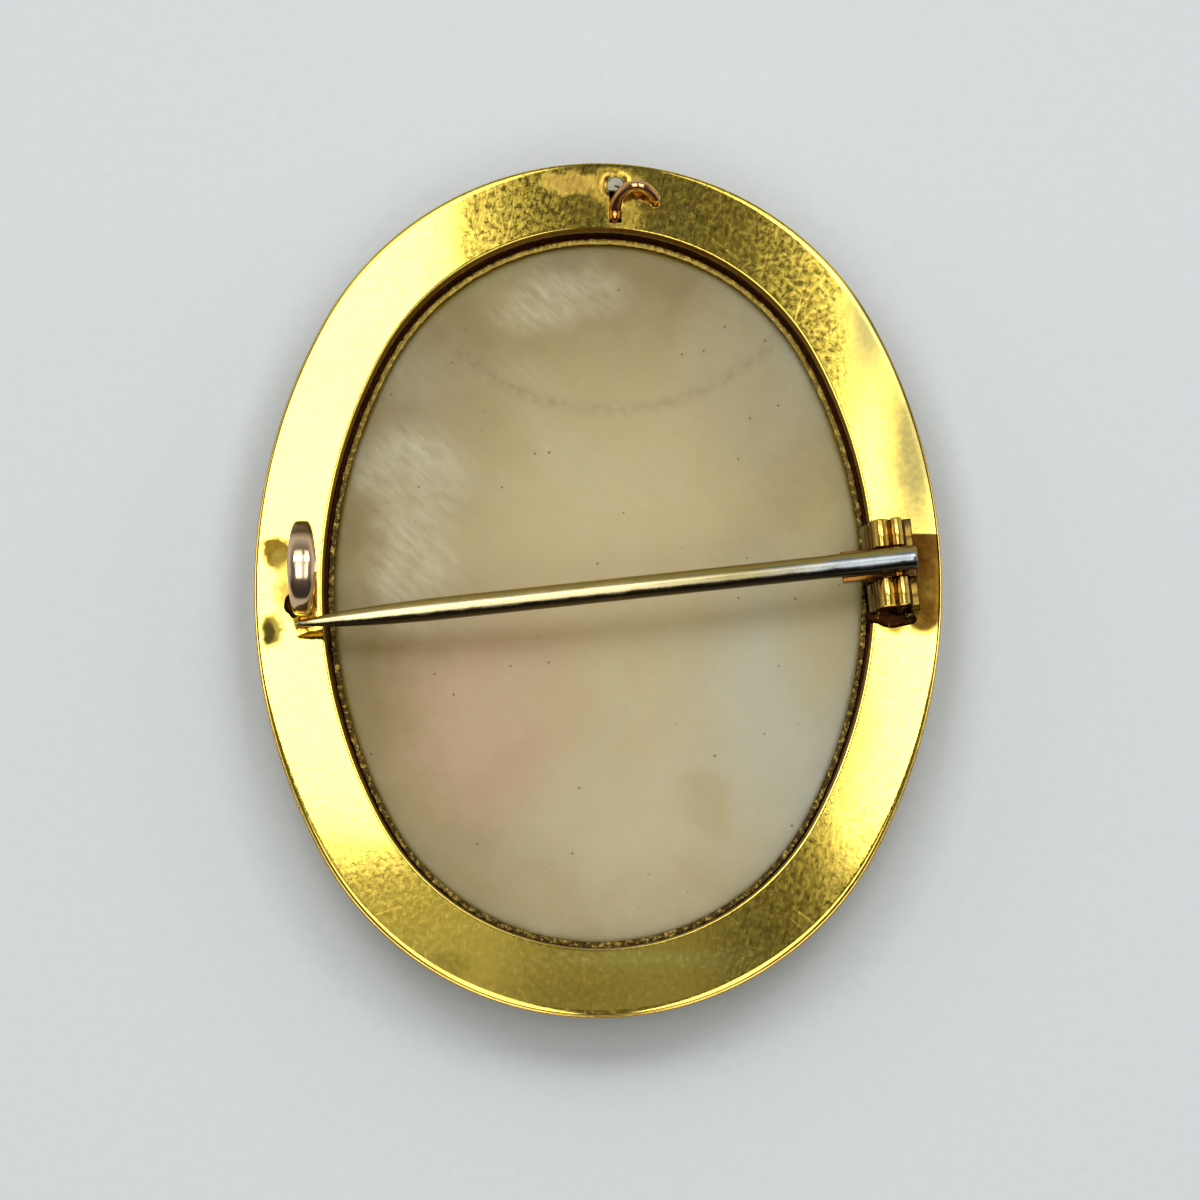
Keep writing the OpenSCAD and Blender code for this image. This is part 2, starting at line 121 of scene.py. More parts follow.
def loft(name, rows, closed=False, place=Matrix.Identity(4), **marks):
    """A piece skinned over rows of points in mm. Each row is a closed outline; closed joins the
    last row to the first, and open ends are capped. Marks are numbers kept on the points."""
    rows = np.asarray(rows, float)
    count, sides = rows.shape[:2]
    index = np.arange(count * sides).reshape(count, sides)
    here = index if closed else index[:-1]
    there = np.roll(index, -1, 0) if closed else index[1:]
    faces = np.stack([here, np.roll(here, -1, 1), np.roll(there, -1, 1), there], -1)
    faces = faces.reshape(-1, 4).tolist()
    if not closed:
        faces += [index[end].tolist() for end in (0, -1) if np.ptp(rows[end], 0).max() > 1e-6]
    mesh = bpy.data.meshes.new(name)
    mesh.from_pydata(rows.reshape(-1, 3).tolist(), [], faces)
    for mark, values in marks.items():
        values = np.broadcast_to(values, rows.shape[:2]).ravel().astype(np.float32)
        mesh.attributes.new(mark, "FLOAT", "POINT").data.foreach_set("value", values)
    mesh.transform(Matrix.Scale(MM, 4) @ place)
    shape = bmesh.new()
    shape.from_mesh(mesh)
    bmesh.ops.remove_doubles(shape, verts=shape.verts, dist=1e-8)
    bmesh.ops.dissolve_degenerate(shape, edges=shape.edges, dist=1e-9)
    bmesh.ops.recalc_face_normals(shape, faces=shape.faces)
    shape.to_mesh(mesh)
    shape.free()
    shade(mesh)
    piece = bpy.data.objects.new(name, mesh)
    bpy.context.scene.collection.objects.link(piece)
    return piece


def uneven(points, size, seed):
    """Smooth noise from -1 to 1 at each point, with bumps about size mm across."""
    shift = Vector((seed, 2.3 * seed, 3.7 * seed))
    flat = (Vector(p) / size + shift for p in np.reshape(points, (-1, 3)).tolist())
    return np.array([noise.noise(p) for p in flat]).reshape(points.shape[:-1])


def arch(radius, steps):
    """Half round section of the dome, from its outer to its inner side, flat at the crest."""
    turn = np.linspace(0, pi, steps)
    height = np.maximum(dome_z - radius * np.sin(turn), dome_r - radius)
    return list(zip(dome_r - radius * np.cos(turn) + wall_lean * np.cos(turn).clip(0), height))


border_outline = (
    [(0, plate_under)]
    + arch(dome_r, 41)
    + [(border_w, plate_under), (border_w - sheet, plate_under)]
    + arch(dome_r - sheet, 31)[::-1]
    + [(sheet, plate_under)]
)
section = divided(eased(border_outline, 0.08), 0.8)
rows = oval(around(0.5), section[:, 0], section[:, 1])

# Shallow dents, about 4 mm across, everywhere but at the crest.
rows[..., 2] += 0.012 * uneven(rows, 4, 1) * (rows[..., 2] > 0.3)
border = loft("border", rows, closed=True, inward=section[:, 0])
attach(border, "brooch")
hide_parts("mount")


def linear(code):
    """The linear colour of an sRGB hex value."""
    parts = [int(code[i:i + 2], 16) / 255 for i in (0, 2, 4)]
    return (*(c / 12.92 if c <= 0.04045 else ((c + 0.055) / 1.055) ** 2.4 for c in parts), 1)


def add(tree, kind, inputs, out=0, **settings):
    """Adds a node with its settings; an input is a number, a colour or another node's output."""
    node = tree.nodes.new("ShaderNode" + kind)
    for name, value in settings.items():
        setattr(node, name, value)
    for key, value in inputs.items():
        if isinstance(value, bpy.types.NodeSocket):
            tree.links.new(value, node.inputs[key])
        else:
            node.inputs[key].default_value = linear(value) if isinstance(value, str) else value
    return node.outputs[out] if node.outputs else None


def start_finish(name):
    """A new material's node tree, and the place in mm on the piece that its patterns follow."""
    material = bpy.data.materials.new(name)
    material.use_nodes = True
    material.node_tree.nodes.clear()
    metres = add(material.node_tree, "TexCoord", {}, out="Object")
    scaled = {0: metres, 1: (1 / MM, 1 / MM, 1 / MM)}
    place = add(material.node_tree, "VectorMath", scaled, operation="MULTIPLY")
    return material, material.node_tree, place


# Where a mix node takes its share, the colour under and the colour over it, and gives the mix.
SHARE, UNDER, OVER, MIXED = 0, 6, 7, 2


def scratches(tree, place, length, width, turns):
    """Fine straight scratches that run in several directions: 1 on a scratch and 0 beside it."""
    found = 0.0
    for turn in turns:
        laid = {"Vector": place, "Rotation": (0, 0, radians(turn)), "Scale": (length, width, length)}
        laid = add(tree, "Mapping", laid, vector_type="TEXTURE")
        grain = add(tree, "TexNoise", {"Vector": laid, "Scale": 1.0, "Detail": 1.0})
        line = add(tree, "MapRange", {"Value": grain, "From Min": 0.71, "From Max": 0.8})
        found = add(tree, "Math", {0: found, 1: line}, operation="MAXIMUM")
    return found


def gold_skin(tree, place, bright, dull, film, grain=0.6, most=0.7):
    """Colour, roughness and height in mm of worn polished gold: its colour drifts slowly, a thin
    brown film stays between the rubbed places, and the surface is full of fine scratches."""
    drift = add(tree, "TexNoise", {"Vector": place, "Scale": 0.3, "Detail": 3.0})
    colour = add(tree, "Mix", {SHARE: drift, UNDER: bright, OVER: dull}, MIXED, data_type="RGBA")
    rubbed = {"Vector": place, "Scale": 1 / grain, "Detail": 8.0, "Roughness": 0.68}
    rubbed = add(tree, "TexNoise", rubbed)
    left = add(tree, "MapRange", {"Value": rubbed, "From Min": 0.5, "From Max": 0.72, "To Max": most})
    colour = add(tree, "Mix", {SHARE: left, UNDER: colour, OVER: film}, MIXED, data_type="RGBA")

    # Real scratches are about 0.01 mm wide, so these are drawn a few times as wide.
    lines = scratches(tree, place, 5.0, 0.035, (20, 75, 140))
    rough = {"Value": rubbed, "From Min": 0.4, "From Max": 0.75, "To Min": 0.04, "To Max": 0.14}
    rough = add(tree, "MapRange", rough)
    rough = add(tree, "Math", {0: lines, 1: 0.05, 2: rough}, operation="MULTIPLY_ADD")
    height = add(tree, "Math", {0: lines, 1: -0.00012}, operation="MULTIPLY")
    height = add(tree, "Math", {0: rubbed, 1: 0.002 * grain, 2: height}, operation="MULTIPLY_ADD")
    return colour, rough, height


def metal(material, colour, rough, height):
    """Ends a metal's tree: bare metal that takes its colour, roughness and relief from patterns."""
    tree = material.node_tree
    relief = add(tree, "Bump", {"Height": height, "Distance": MM, "Strength": 1.0})
    look = {"Base Color": colour, "Roughness": rough, "Metallic": 1.0, "Normal": relief}
    add(tree, "OutputMaterial", {"Surface": add(tree, "BsdfPrincipled", look)})


# Pressed 9 ct gold: warm yellow with a soft shine. Its thin rim is worn to a pinker gold. A dark line
# is painted along the back plate's seam as shade, and the walls below it are painted brown as shade.
pressed_gold, tree, place = start_finish("pressed 9 ct gold")
colour, rough, height = gold_skin(tree, place, "F2D35A", "DDB347", "8A6A2C")
inward = add(tree, "Attribute", {}, out="Fac", attribute_name="inward")
worn = add(tree, "MapRange", {"Value": inward, "From Min": 0.12, "From Max": 0.06})
rough = add(tree, "Math", {0: worn, 1: 0.15, 2: rough}, operation="MULTIPLY_ADD")
up = add(tree, "SeparateXYZ", {0: place}, out="Z")
# A dark line along the seam under the plate: painted shade.
seam = add(tree, "MapRange", {"Value": inward, "From Min": 0.15, "From Max": 0.22})
at_top = add(tree, "MapRange", {"Value": up, "From Min": plate_under - 0.3, "From Max": plate_under - 0.1})
seam_shade = add(tree, "Math", {0: seam, 1: at_top}, operation="MULTIPLY")
# The walls below the rim are painted brown as shade.
under_rim = {"Value": up, "From Min": plate_under - 0.06, "From Max": plate_under - 0.16}
under_rim = add(tree, "MapRange", under_rim)
wall = {"Value": up, "From Min": 1.6, "From Max": 4.2, "To Min": 0.35, "To Max": 0.95}
wall = add(tree, "MapRange", wall)
shade_below = add(tree, "Math", {0: under_rim, 1: wall}, operation="MULTIPLY")
for share, tone in [(worn, "D0A858"), (seam_shade, "8A6A24"), (shade_below, "5A2E14")]:
    colour = add(tree, "Mix", {SHARE: share, UNDER: colour, OVER: tone}, MIXED, data_type="RGBA")
metal(pressed_gold, colour, rough, height)
border.data.materials.append(pressed_gold)

# Back plate: a flat oval ring of thicker gold sheet, soldered over the hollow border. Its inner
# edge is filed to a slope, and a vent and a slot for the hook are cut through it at the top.
plate_out = 0.1
bevel_w, bevel_h = 0.12, 0.3
plate_in = border_w - bevel_w
slot_x, slot_w = 0.93, 0.66
vent_r, vent_from_rim = 0.48, 0.83
vent_y = half_l - vent_from_rim - vent_r
slot_from_edge, slot_into_vent = 0.25, 0.19
slot_y0 = half_l - plate_in + slot_from_edge
slot_y1 = vent_y - vent_r + slot_into_vent

plate_outline = [
    (plate_out, plate_under),
    (plate_out, face),
    (plate_in, face),
    (border_w, face - bevel_h),
    (border_w, plate_under),
]
section = divided(eased(plate_outline, 0.05), 0.08)
rows = oval(around(0.5), section[:, 0], section[:, 1])

# Its face rolls down at the rim, is pressed in round the vent, and waves as beaten sheet does.
on_face = np.clip((rows[..., 2] - face + 0.1) / 0.1, 0, 1)
from_rim = section[:, 0] - plate_out
rolled = 0.035 * np.clip(1 - from_rim / 0.3, 0, 1) ** 3
beside_hole = np.hypot(rows[..., 0] - slot_x, rows[..., 1] - vent_y)
pressed = 0.08 * np.exp(-(np.maximum(beside_hole - vent_r, 0) / 0.16) ** 2)
waves = 0.009 * (1 - uneven(rows, 7, 3)) + 0.0006 * (1 - uneven(rows, 1.3, 5))
rows[..., 2] -= on_face * (rolled + pressed + waves)
back_plate = loft("back_plate", rows, closed=True)


def cut(piece, tool, operation="DIFFERENCE"):
    """Cuts the tool's shape out of the piece, or joins it on, and takes the tool away. The
    piece is left without a material."""
    step = piece.modifiers.new("cut", "BOOLEAN")
    step.object, step.operation, step.solver = tool, operation, "EXACT"
    whole = piece.evaluated_get(bpy.context.evaluated_depsgraph_get())
    piece.data = bpy.data.meshes.new_from_object(whole)
    piece.data.materials.clear()
    piece.modifiers.clear()
    bpy.data.objects.remove(tool)
    shade(piece.data)


def rod(name, x, y, radii):
    """A round upright tool: radii gives its radius at each height."""
    turn = np.linspace(0, 2 * pi, 65)[:-1]
    rows = [[(x + r * cos(a), y + r * sin(a), z) for a in turn] for r, z in radii]
    return loft(name, rows)


def block(name, lowest, highest, ease):
    """An upright block with eased corners, for a tool or a foot."""
    (x0, y0, z0), (x1, y1, z1) = lowest, highest
    outline = eased([(x0, y0), (x1, y0), (x1, y1), (x0, y1)], ease)
    return loft(name, [[(x, y, z) for x, y in outline] for z in (z0, z1)])


tool_low, tool_high = 5, 6.2
vent_radii = [(vent_r, tool_low), (vent_r, face - 0.12), (vent_r + 0.08, tool_high)]
cut(back_plate, rod("vent", slot_x, vent_y, vent_radii))
slot_low = (slot_x - slot_w / 2, slot_y0, tool_low)
slot_high = (slot_x + slot_w / 2, slot_y1, tool_high)
cut(back_plate, block("slot", slot_low, slot_high, 0.08))
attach(back_plate, "brooch")
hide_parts("mount")


def blotch(tree, place, centre, size, soft, most=1.0):
    """A stain's share: most within its size round the centre, both in mm, and 0 past its soft
    edge. Soft is the share of its size that the edge takes on each side."""
    away = add(tree, "VectorMath", {0: place, 1: (*centre, face)}, operation="SUBTRACT")
    away = add(tree, "VectorMath", {0: away, 1: (*size, 50.0)}, operation="DIVIDE")
    away = add(tree, "VectorMath", {0: away}, out="Value", operation="LENGTH")
    edge = {"Value": away, "From Min": 1 + soft, "From Max": 1 - soft, "To Max": most}
    return add(tree, "MapRange", edge, interpolation_type="SMOOTHSTEP")


# Polished 9 ct gold: a mirror that age has made uneven. It reflects the lights as broad pale
# areas, and shows olive and brown films, rub marks and scratches where they are dark. The film
# is thickest by the hook and at the lower right, where a thumb holds the brooch.
polished_gold, tree, place = start_finish("polished 9 ct gold")
at_top = blotch(tree, place, (2.0, 21.5), (9.0, 4.5), 0.5)
at_side = blotch(tree, place, (10.5, -16.5), (5.0, 4.0), 0.6)
filmed = add(tree, "Math", {0: at_top, 1: at_side}, operation="MAXIMUM")
filmed = add(tree, "MapRange", {"Value": filmed, "To Min": 0.15, "To Max": 0.7})
colour, rough, height = gold_skin(tree, place, "F5DA60", "EBCA56", "7A5A1E", grain=0.3, most=filmed)

# Smears of brown film run up and down where the hook and fingers have rubbed.
laid = {"Vector": place, "Rotation": (0, 0, radians(-12)), "Scale": (0.2, 0.75, 1.0)}
laid = add(tree, "Mapping", laid, vector_type="TEXTURE")
smears = add(tree, "TexNoise", {"Vector": laid, "Scale": 1.0, "Detail": 5.0, "Roughness": 0.7})
smears = add(tree, "MapRange", {"Value": smears, "From Min": 0.45, "From Max": 0.66, "To Max": 0.85})
smears = add(tree, "Math", {0: smears, 1: filmed}, operation="MULTIPLY")
colour = add(tree, "Mix", {SHARE: smears, UNDER: colour, OVER: "64400F"}, MIXED, data_type="RGBA")
bend = add(tree, "TexNoise", {"Vector": place, "Scale": 1.1, "Detail": 3.0}, out="Color")
bend = add(tree, "VectorMath", {0: bend, 1: (0.5, 0.5, 0.5)}, operation="SUBTRACT")
wavy = add(tree, "VectorMath", {0: bend, 1: (0.9, 0.9, 0.0), 2: place}, operation="MULTIPLY_ADD")
STAINS_AND_PAINTED_LIGHT = [
    # across, along, half width, half length, softness, share, haze, colour
    (16.8, 8.0, 1.5, 6.5, 0.7, 0.93, 0.1, "625B37"),
    (14.4, 14.2, 1.1, 3.4, 0.8, 0.85, 0.1, "706C48"),
    (-2.0, -21.8, 3.6, 0.8, 0.6, 0.12, 0.0, "6A5A1C"),
    (-7.8, -20.2, 1.0, 0.7, 0.6, 0.3, 0.0, "6A5A1C"),
    # A pale yellow band near the lower inner edge: a painted highlight.
    (3.0, -19.9, 5.0, 0.5, 0.8, 0.5, 0.0, "FFF080"),
    # The next five rows paint the dark reflection of the catch on the plate beside it.
    (-17.0, 1.9, 0.8, 0.8, 0.25, 0.95, 0.15, "3D2A02"),
    (-16.75, 1.4, 0.55, 0.6, 0.5, 0.9, 0.0, "625220"),
    (-17.2, -2.35, 0.55, 0.95, 0.3, 0.93, 0.15, "564A1C"),
    (-17.35, -2.5, 0.3, 0.7, 0.5, 0.9, 0.1, "2E260C"),
    (-16.6, -0.3, 0.45, 1.1, 0.8, 0.93, 0.1, "7A622C"),
    (0.9, 21.6, 1.3, 0.9, 0.5, 0.8, 0.15, "5E431A"),
    (1.5, 19.9, 0.9, 0.9, 0.5, 0.5, 0.15, "6A5424"),
    (-1.6, 21.8, 1.4, 0.5, 0.5, 0.8, 0.15, "73582A"),
    (15.6, -1.9, 0.9, 0.5, 0.4, 0.8, 0.15, "5A3A14"),
]
for x, y, wide, long, soft, most, haze, film in STAINS_AND_PAINTED_LIGHT:
    share = blotch(tree, wavy, (x, y), (wide, long), soft, most)
    colour = add(tree, "Mix", {SHARE: share, UNDER: colour, OVER: film}, MIXED, data_type="RGBA")
    rough = add(tree, "Math", {0: share, 1: haze, 2: rough}, operation="MULTIPLY_ADD")

# A straight-edged amber patch lies on the plate between the hinge and the rim.
patch = blotch(tree, place, (17.2, -1.6), (0.95, 0.9), 0.3)
edge_soft = 0.05
for axis, least, greatest, operation in [("Y", -1.6, 2.85, "MAXIMUM"), ("X", 16.5, 18.1, "MULTIPLY")]:
    along = add(tree, "SeparateXYZ", {0: place}, out=axis)
    past = {"Value": along, "From Min": least - edge_soft, "From Max": least + edge_soft}
    short = {"Value": along, "From Min": greatest + edge_soft, "From Max": greatest - edge_soft}
    inside = {0: add(tree, "MapRange", past), 1: add(tree, "MapRange", short)}
    inside = add(tree, "Math", inside, operation="MULTIPLY")
    patch = add(tree, "Math", {0: patch, 1: inside}, operation=operation)
thin = add(tree, "TexNoise", {"Vector": place, "Scale": 0.9, "Detail": 6.0, "Roughness": 0.7})
thin = {"Value": thin, "From Min": 0.3, "From Max": 0.7, "To Min": 1.0, "To Max": 0.92}
patch = add(tree, "Math", {0: patch, 1: add(tree, "MapRange", thin)}, operation="MULTIPLY")
rough = add(tree, "Math", {0: patch, 1: 0.12, 2: rough}, operation="MULTIPLY_ADD")

# The filed slope along the inner edge was never polished, and is brown.
up = add(tree, "SeparateXYZ", {0: place}, out="Z")
edge = {"Value": up, "From Min": face - 0.025, "From Max": face - 0.05, "To Max": 0.85}
edge = add(tree, "MapRange", edge)
inner_side = blotch(tree, place, (0.0, 0.0), (half_w - 2.0, half_l - 2.0), 0.01)
edge = add(tree, "Math", {0: edge, 1: inner_side}, operation="MULTIPLY")
for share, tone in [(patch, "2C1000"), (edge, "6A3E14")]:
    colour = add(tree, "Mix", {SHARE: share, UNDER: colour, OVER: tone}, MIXED, data_type="RGBA")
metal(polished_gold, colour, rough, height)
back_plate.data.materials.append(polished_gold)

# Cup: a thin gold collar inside the border that holds the shell. Its front lip is folded in under
# the shell's face, and its back edge is burnished down over the shell's bevel. Old dust fills the
# groove between it and the border to just under its edge.
groove_w = 0.18
cup_t = 0.18
seat_gap = 0.04
lip_t = 0.3
lip_cover = 0.45
front_rim = 2.8
back_rim = 4.3
shell_bevel = 0.25
burnish = 0.14
cup_out = border_w + groove_w
cup_in = cup_out + cup_t
girdle = cup_in + seat_gap
lip_z = front_rim - seat_gap - lip_t
burnish_z = back_rim + shell_bevel / 2
dust_z = burnish_z - 0.1
into_border = border_w - 0.02

cup_outline = [
    (into_border, lip_z),
    (girdle + lip_cover, lip_z),
    (girdle + lip_cover, lip_z + lip_t),
    (cup_in, lip_z + lip_t),
    (cup_in, burnish_z),
    (cup_in + burnish, burnish_z + burnish / 2),
    (cup_in + burnish, burnish_z + burnish),
    (cup_out, burnish_z + burnish),
    (cup_out, dust_z),
    (into_border, dust_z),
]
section = divided(eased(cup_outline, 0.045), 0.3)
turns = around(0.25)
inward = section[:, 0] + 0 * turns
rows = oval(turns, inward, section[:, 1])

# The tool left the burnished edge wavy, by a few hundredths of a millimetre.
at_edge = np.clip((section[:, 1] - burnish_z) / burnish, 0, 1)
worked = uneven(rows, 0.28, 7) + 0.6 * uneven(rows, 0.12, 9)
height = section[:, 1] - 0.03 * at_edge * np.abs(worked)
rows = oval(turns, inward + 0.025 * at_edge * worked, height)
shell_cup = loft("shell_cup", rows, closed=True)
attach(shell_cup, "brooch")
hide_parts("mount")

# Burnished gold with old dirt: the tool's marks show as gritty bright and black specks, drawn
# about twice as coarse as they are. Everything below the burnished edge is painted dark brown,
# for the dust and as painted shade in the groove.
burnished_gold, tree, place = start_finish("burnished gold with dirt")
colour, rough, height = gold_skin(tree, place, "94803A", "746028", "4A3212", grain=0.3)
rough = add(tree, "Math", {0: rough, 1: 0.2}, operation="ADD")
grit = add(tree, "TexNoise", {"Vector": place, "Scale": 4.5, "Detail": 4.0, "Roughness": 0.7})
dark = add(tree, "MapRange", {"Value": grit, "From Min": 0.34, "From Max": 0.5, "To Max": 0.95})
north = add(tree, "SeparateXYZ", {0: place}, out="Y")
rubbed = {"Value": north, "From Min": 4.0, "From Max": 17.0, "To Min": 1.0, "To Max": 0.35}
rubbed = add(tree, "MapRange", rubbed)
dark = add(tree, "Math", {0: dark, 1: rubbed}, operation="MULTIPLY")
up = add(tree, "SeparateXYZ", {0: place}, out="Z")
groove_dust_and_shade = {"Value": up, "From Min": burnish_z + 0.08, "From Max": burnish_z - 0.05}
groove_dust_and_shade = add(tree, "MapRange", groove_dust_and_shade)
for share, tone in [(dark, "20140A"), (groove_dust_and_shade, "301A0A")]:
    colour = add(tree, "Mix", {SHARE: share, UNDER: colour, OVER: tone}, MIXED, data_type="RGBA")
height = add(tree, "Math", {0: grit, 1: 0.02, 2: height}, operation="MULTIPLY_ADD")
metal(burnished_gold, colour, rough, height)
shell_cup.data.materials.append(burnished_gold)

# Cameo: helmet shell, ground thin and hollow at the back and carved in relief at the front. The
# pale layer of the shell is left as flowers and leaves over its darker ground.
shell_bulge = 0.8
back_hollow = 0.8
margin = lip_cover + 0.2
shell_w, shell_l = half_w - girdle, half_l - girdle
relief_h = 1.3
FLOWERS = [
    # across, along, petals, turn, radius, height
    (0.02, 0.08, 6, 10, 0.36, 1.00),
    (0.40, -0.36, 5, 24, 0.20, 0.66),
    (-0.38, 0.46, 5, 50, 0.19, 0.62),
    (-0.30, -0.44, 5, 4, 0.16, 0.58),
    (0.34, 0.54, 5, 30, 0.14, 0.52),
]
LEAVES = [
    # across, along, direction, length, width, height
    (0.26, 0.24, 38, 0.50, 0.22, 0.50),
    (-0.20, 0.28, 118, 0.56, 0.22, 0.50),
    (-0.30, 0.04, 172, 0.44, 0.22, 0.46),
    (-0.26, -0.10, 214, 0.50, 0.22, 0.48),
    (-0.06, -0.18, 252, 0.62, 0.24, 0.50),
    (0.14, -0.16, 286, 0.66, 0.24, 0.50),
    (0.32, 0.00, 340, 0.44, 0.22, 0.46),
    (0.10, 0.36, 74, 0.52, 0.22, 0.46),
]
PETAL_RINGS = [
    # petals fewer, turn, distance out, petal radius, height
    (0, 0, 0.60, 0.40, 0.72),
    (1, 20, 0.32, 0.30, 0.88),
]


def scale(u, v):
    """Height of a rounded scale, 1 at its middle and 0 from its edge on."""
    return np.sqrt(np.clip(1 - u * u - v * v, 0, None))


def turned(x, y, angle):
    """The two places measured along and across a direction in degrees."""
    a = radians(angle)
    return x * cos(a) + y * sin(a), y * cos(a) - x * sin(a)


def flower(x, y, petals, turn):
    """Relief of a flower of radius 1: two rings of veined petals and a dotted heart."""
    relief = 0 * x
    for fewer, shift, out, size, high in PETAL_RINGS:
        count = petals - fewer
        for i in range(count):
            along, across = turned(x, y, turn + shift + i * 360 / count)
            along, across = (along - out) / size, across / (size * 1.15)
            veins = 1 - 0.05 * np.abs(np.sin(9 * across / (0.4 + np.abs(along + 1.2))))
            relief = np.maximum(relief, high * veins * scale(along, across))
    dots = 0.9 + 0.1 * np.sin(26 * x) * np.sin(26 * y)
    relief = np.maximum(relief, dots * scale(x / 0.26, y / 0.26))
    return np.where(np.hypot(x, y) > 1, 0, relief)


def leaf(x, y, direction, long, wide):
    """Relief of a leaf that starts at 0 and tapers to a point, with a vein and side veins."""
    along, across = turned(x, y, direction)
    along, across = (along - long / 2) / (long / 2), across / (wide / 2)
    vein = 1 - 0.3 * np.exp(-((across / 0.1) ** 2))
    side = 1 - 0.07 * np.abs(np.sin(9 * (along - 0.5 * np.abs(across))))
    return vein * side * scale(along, across * (1.15 + 0.35 * along))


def carving(x, y):
    """Height of the relief in mm over the shell's ground."""
    relief = 0 * x
    for across, along, petals, turn, radius, high in FLOWERS:
        size = radius * shell_w
        place = (x - across * shell_w) / size, (y - along * shell_l) / size
        relief = np.maximum(relief, high * flower(*place, petals, turn))
    for across, along, direction, long, wide, high in LEAVES:
        place = (x - across * shell_w) / shell_w, (y - along * shell_l) / shell_w
        relief = np.maximum(relief, high * leaf(*place, direction, long, wide))
    return relief_h * relief


turns = around(0.9).T
rim = oval(turns, girdle + margin, 0)
grow = np.linspace(0, 1, 46)[:, None]
back = grow[..., None] * rim
back[..., 2] = back_rim - back_hollow * (1 - grow**2)
back[..., 2] -= 0.02 * (1 - uneven(back, 3, 11)) * (1 - grow**4)
far, near = shell_bevel + 0.05, shell_bevel - 0.05
edge = [(far, 0), (near, 0.03), (0.03, near), (0, far)]
edge = [oval(turns, girdle + inward, back_rim - drop) for inward, drop in edge]
waist = [oval(turns, girdle, front_rim + rise) for rise in (0.7, 0.05)]

# The front bulges, and its relief sinks into the ground just before the rim.
shrink = np.linspace(1, 0, 131)[:, None]
front = shrink[..., None] * rim
carved = carving(front[..., 0], front[..., 1])
front[..., 2] = front_rim - shell_bulge * (1 - shrink**2) - carved * np.minimum(1, 6 * (1 - shrink))
rings = np.concatenate([back, *edge, *waist, front])
plain = np.zeros((len(rings) - len(front), rings.shape[1]))
carved = np.concatenate([plain, carved / relief_h])
at_front = np.concatenate([plain, np.ones(front.shape[:2])])
cameo = loft("cameo", rings, carved=carved, at_front=at_front)
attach(cameo, "brooch")
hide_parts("cameo")

# Ground helmet shell: translucent and waxy, so light spreads a little inside it. The back is
# creamy with peach and greenish zones, white clouds of growth and streaks, and specks of dirt.
ground_shell, tree, place = start_finish("ground helmet shell")
bend = add(tree, "TexNoise", {"Vector": place, "Scale": 0.25, "Detail": 3.0}, out="Color")
bend = add(tree, "VectorMath", {0: bend, 1: (0.5, 0.5, 0.5)}, operation="SUBTRACT")
wavy = add(tree, "VectorMath", {0: bend, 1: (4.0, 4.0, 0.0), 2: place}, operation="MULTIPLY_ADD")
clouds = add(tree, "TexNoise", {"Vector": place, "Scale": 0.16, "Detail": 4.0, "Roughness": 0.5})
clouds = add(tree, "MapRange", {"Value": clouds, "From Min": 0.3, "From Max": 0.7})
# The darker olive ground is left at the margin, round the lighter zones below: partly painted shade from
# the setting's wall.
colour = add(tree, "Mix", {SHARE: clouds, UNDER: "8A7024", OVER: "9E8638"}, MIXED, data_type="RGBA")
ZONES = [
    # across, along, half width, half length, softness, share, colour
    (1.0, 3.5, 8.5, 10.0, 0.75, 1.0, "C9B37C"),
    (1.5, -11.0, 9.0, 7.0, 0.75, 1.0, "CBB88C"),
    (0.0, 1.0, 7.0, 7.5, 0.8, 0.9, "CEB984"),
    (9.8, -6.5, 4.0, 6.5, 0.9, 0.85, "C8C3A8"),
    (-6.0, -5.7, 4.2, 4.4, 0.8, 0.8, "CDAA80"),
    (-6.5, -9.0, 3.0, 3.5, 0.7, 0.5, "C8A078"),
    (5.5, -11.2, 1.2, 1.5, 0.5, 0.45, "B5A264"),
    (8.7, 11.5, 4.0, 5.0, 0.6, 0.5, "BDB48C"),
    (-9.5, 9.0, 2.5, 5.0, 0.6, 0.3, "B6A888"),
    (12.0, 0.5, 2.2, 6.0, 0.7, 0.7, "C4B074"),
]
for x, y, wide, long, soft, most, tone in ZONES:
    share = blotch(tree, wavy, (x, y), (wide, long), soft, most)
    colour = add(tree, "Mix", {SHARE: share, UNDER: colour, OVER: tone}, MIXED, data_type="RGBA")
laid = {"Vector": place, "Rotation": (0, 0, radians(-40)), "Scale": (1.6, 0.5, 1.0)}
laid = add(tree, "Mapping", laid, vector_type="TEXTURE")
streaks = add(tree, "TexNoise", {"Vector": laid, "Scale": 1.0, "Detail": 6.0, "Roughness": 0.6})
streaks = add(tree, "MapRange", {"Value": streaks, "From Min": 0.2, "From Max": 0.85})
patches = add(tree, "TexNoise", {"Vector": place, "Scale": 0.22, "Detail": 2.0})
patches = add(tree, "MapRange", {"Value": patches, "From Min": 0.48, "From Max": 0.64, "To Max": 0.25})
WHITES = [
    # across, along, half width, half length
    (-2.2, 16.0, 3.0, 1.6),
    (-9.8, 6.6, 2.6, 2.0),
    (-9.8, 2.0, 2.2, 3.6),
]
for x, y, wide, long in WHITES:
    share = blotch(tree, wavy, (x, y), (wide, long), 0.7)
    patches = add(tree, "Math", {0: share, 1: patches}, operation="MAXIMUM")
white = add(tree, "Math", {0: streaks, 1: patches}, operation="MULTIPLY")

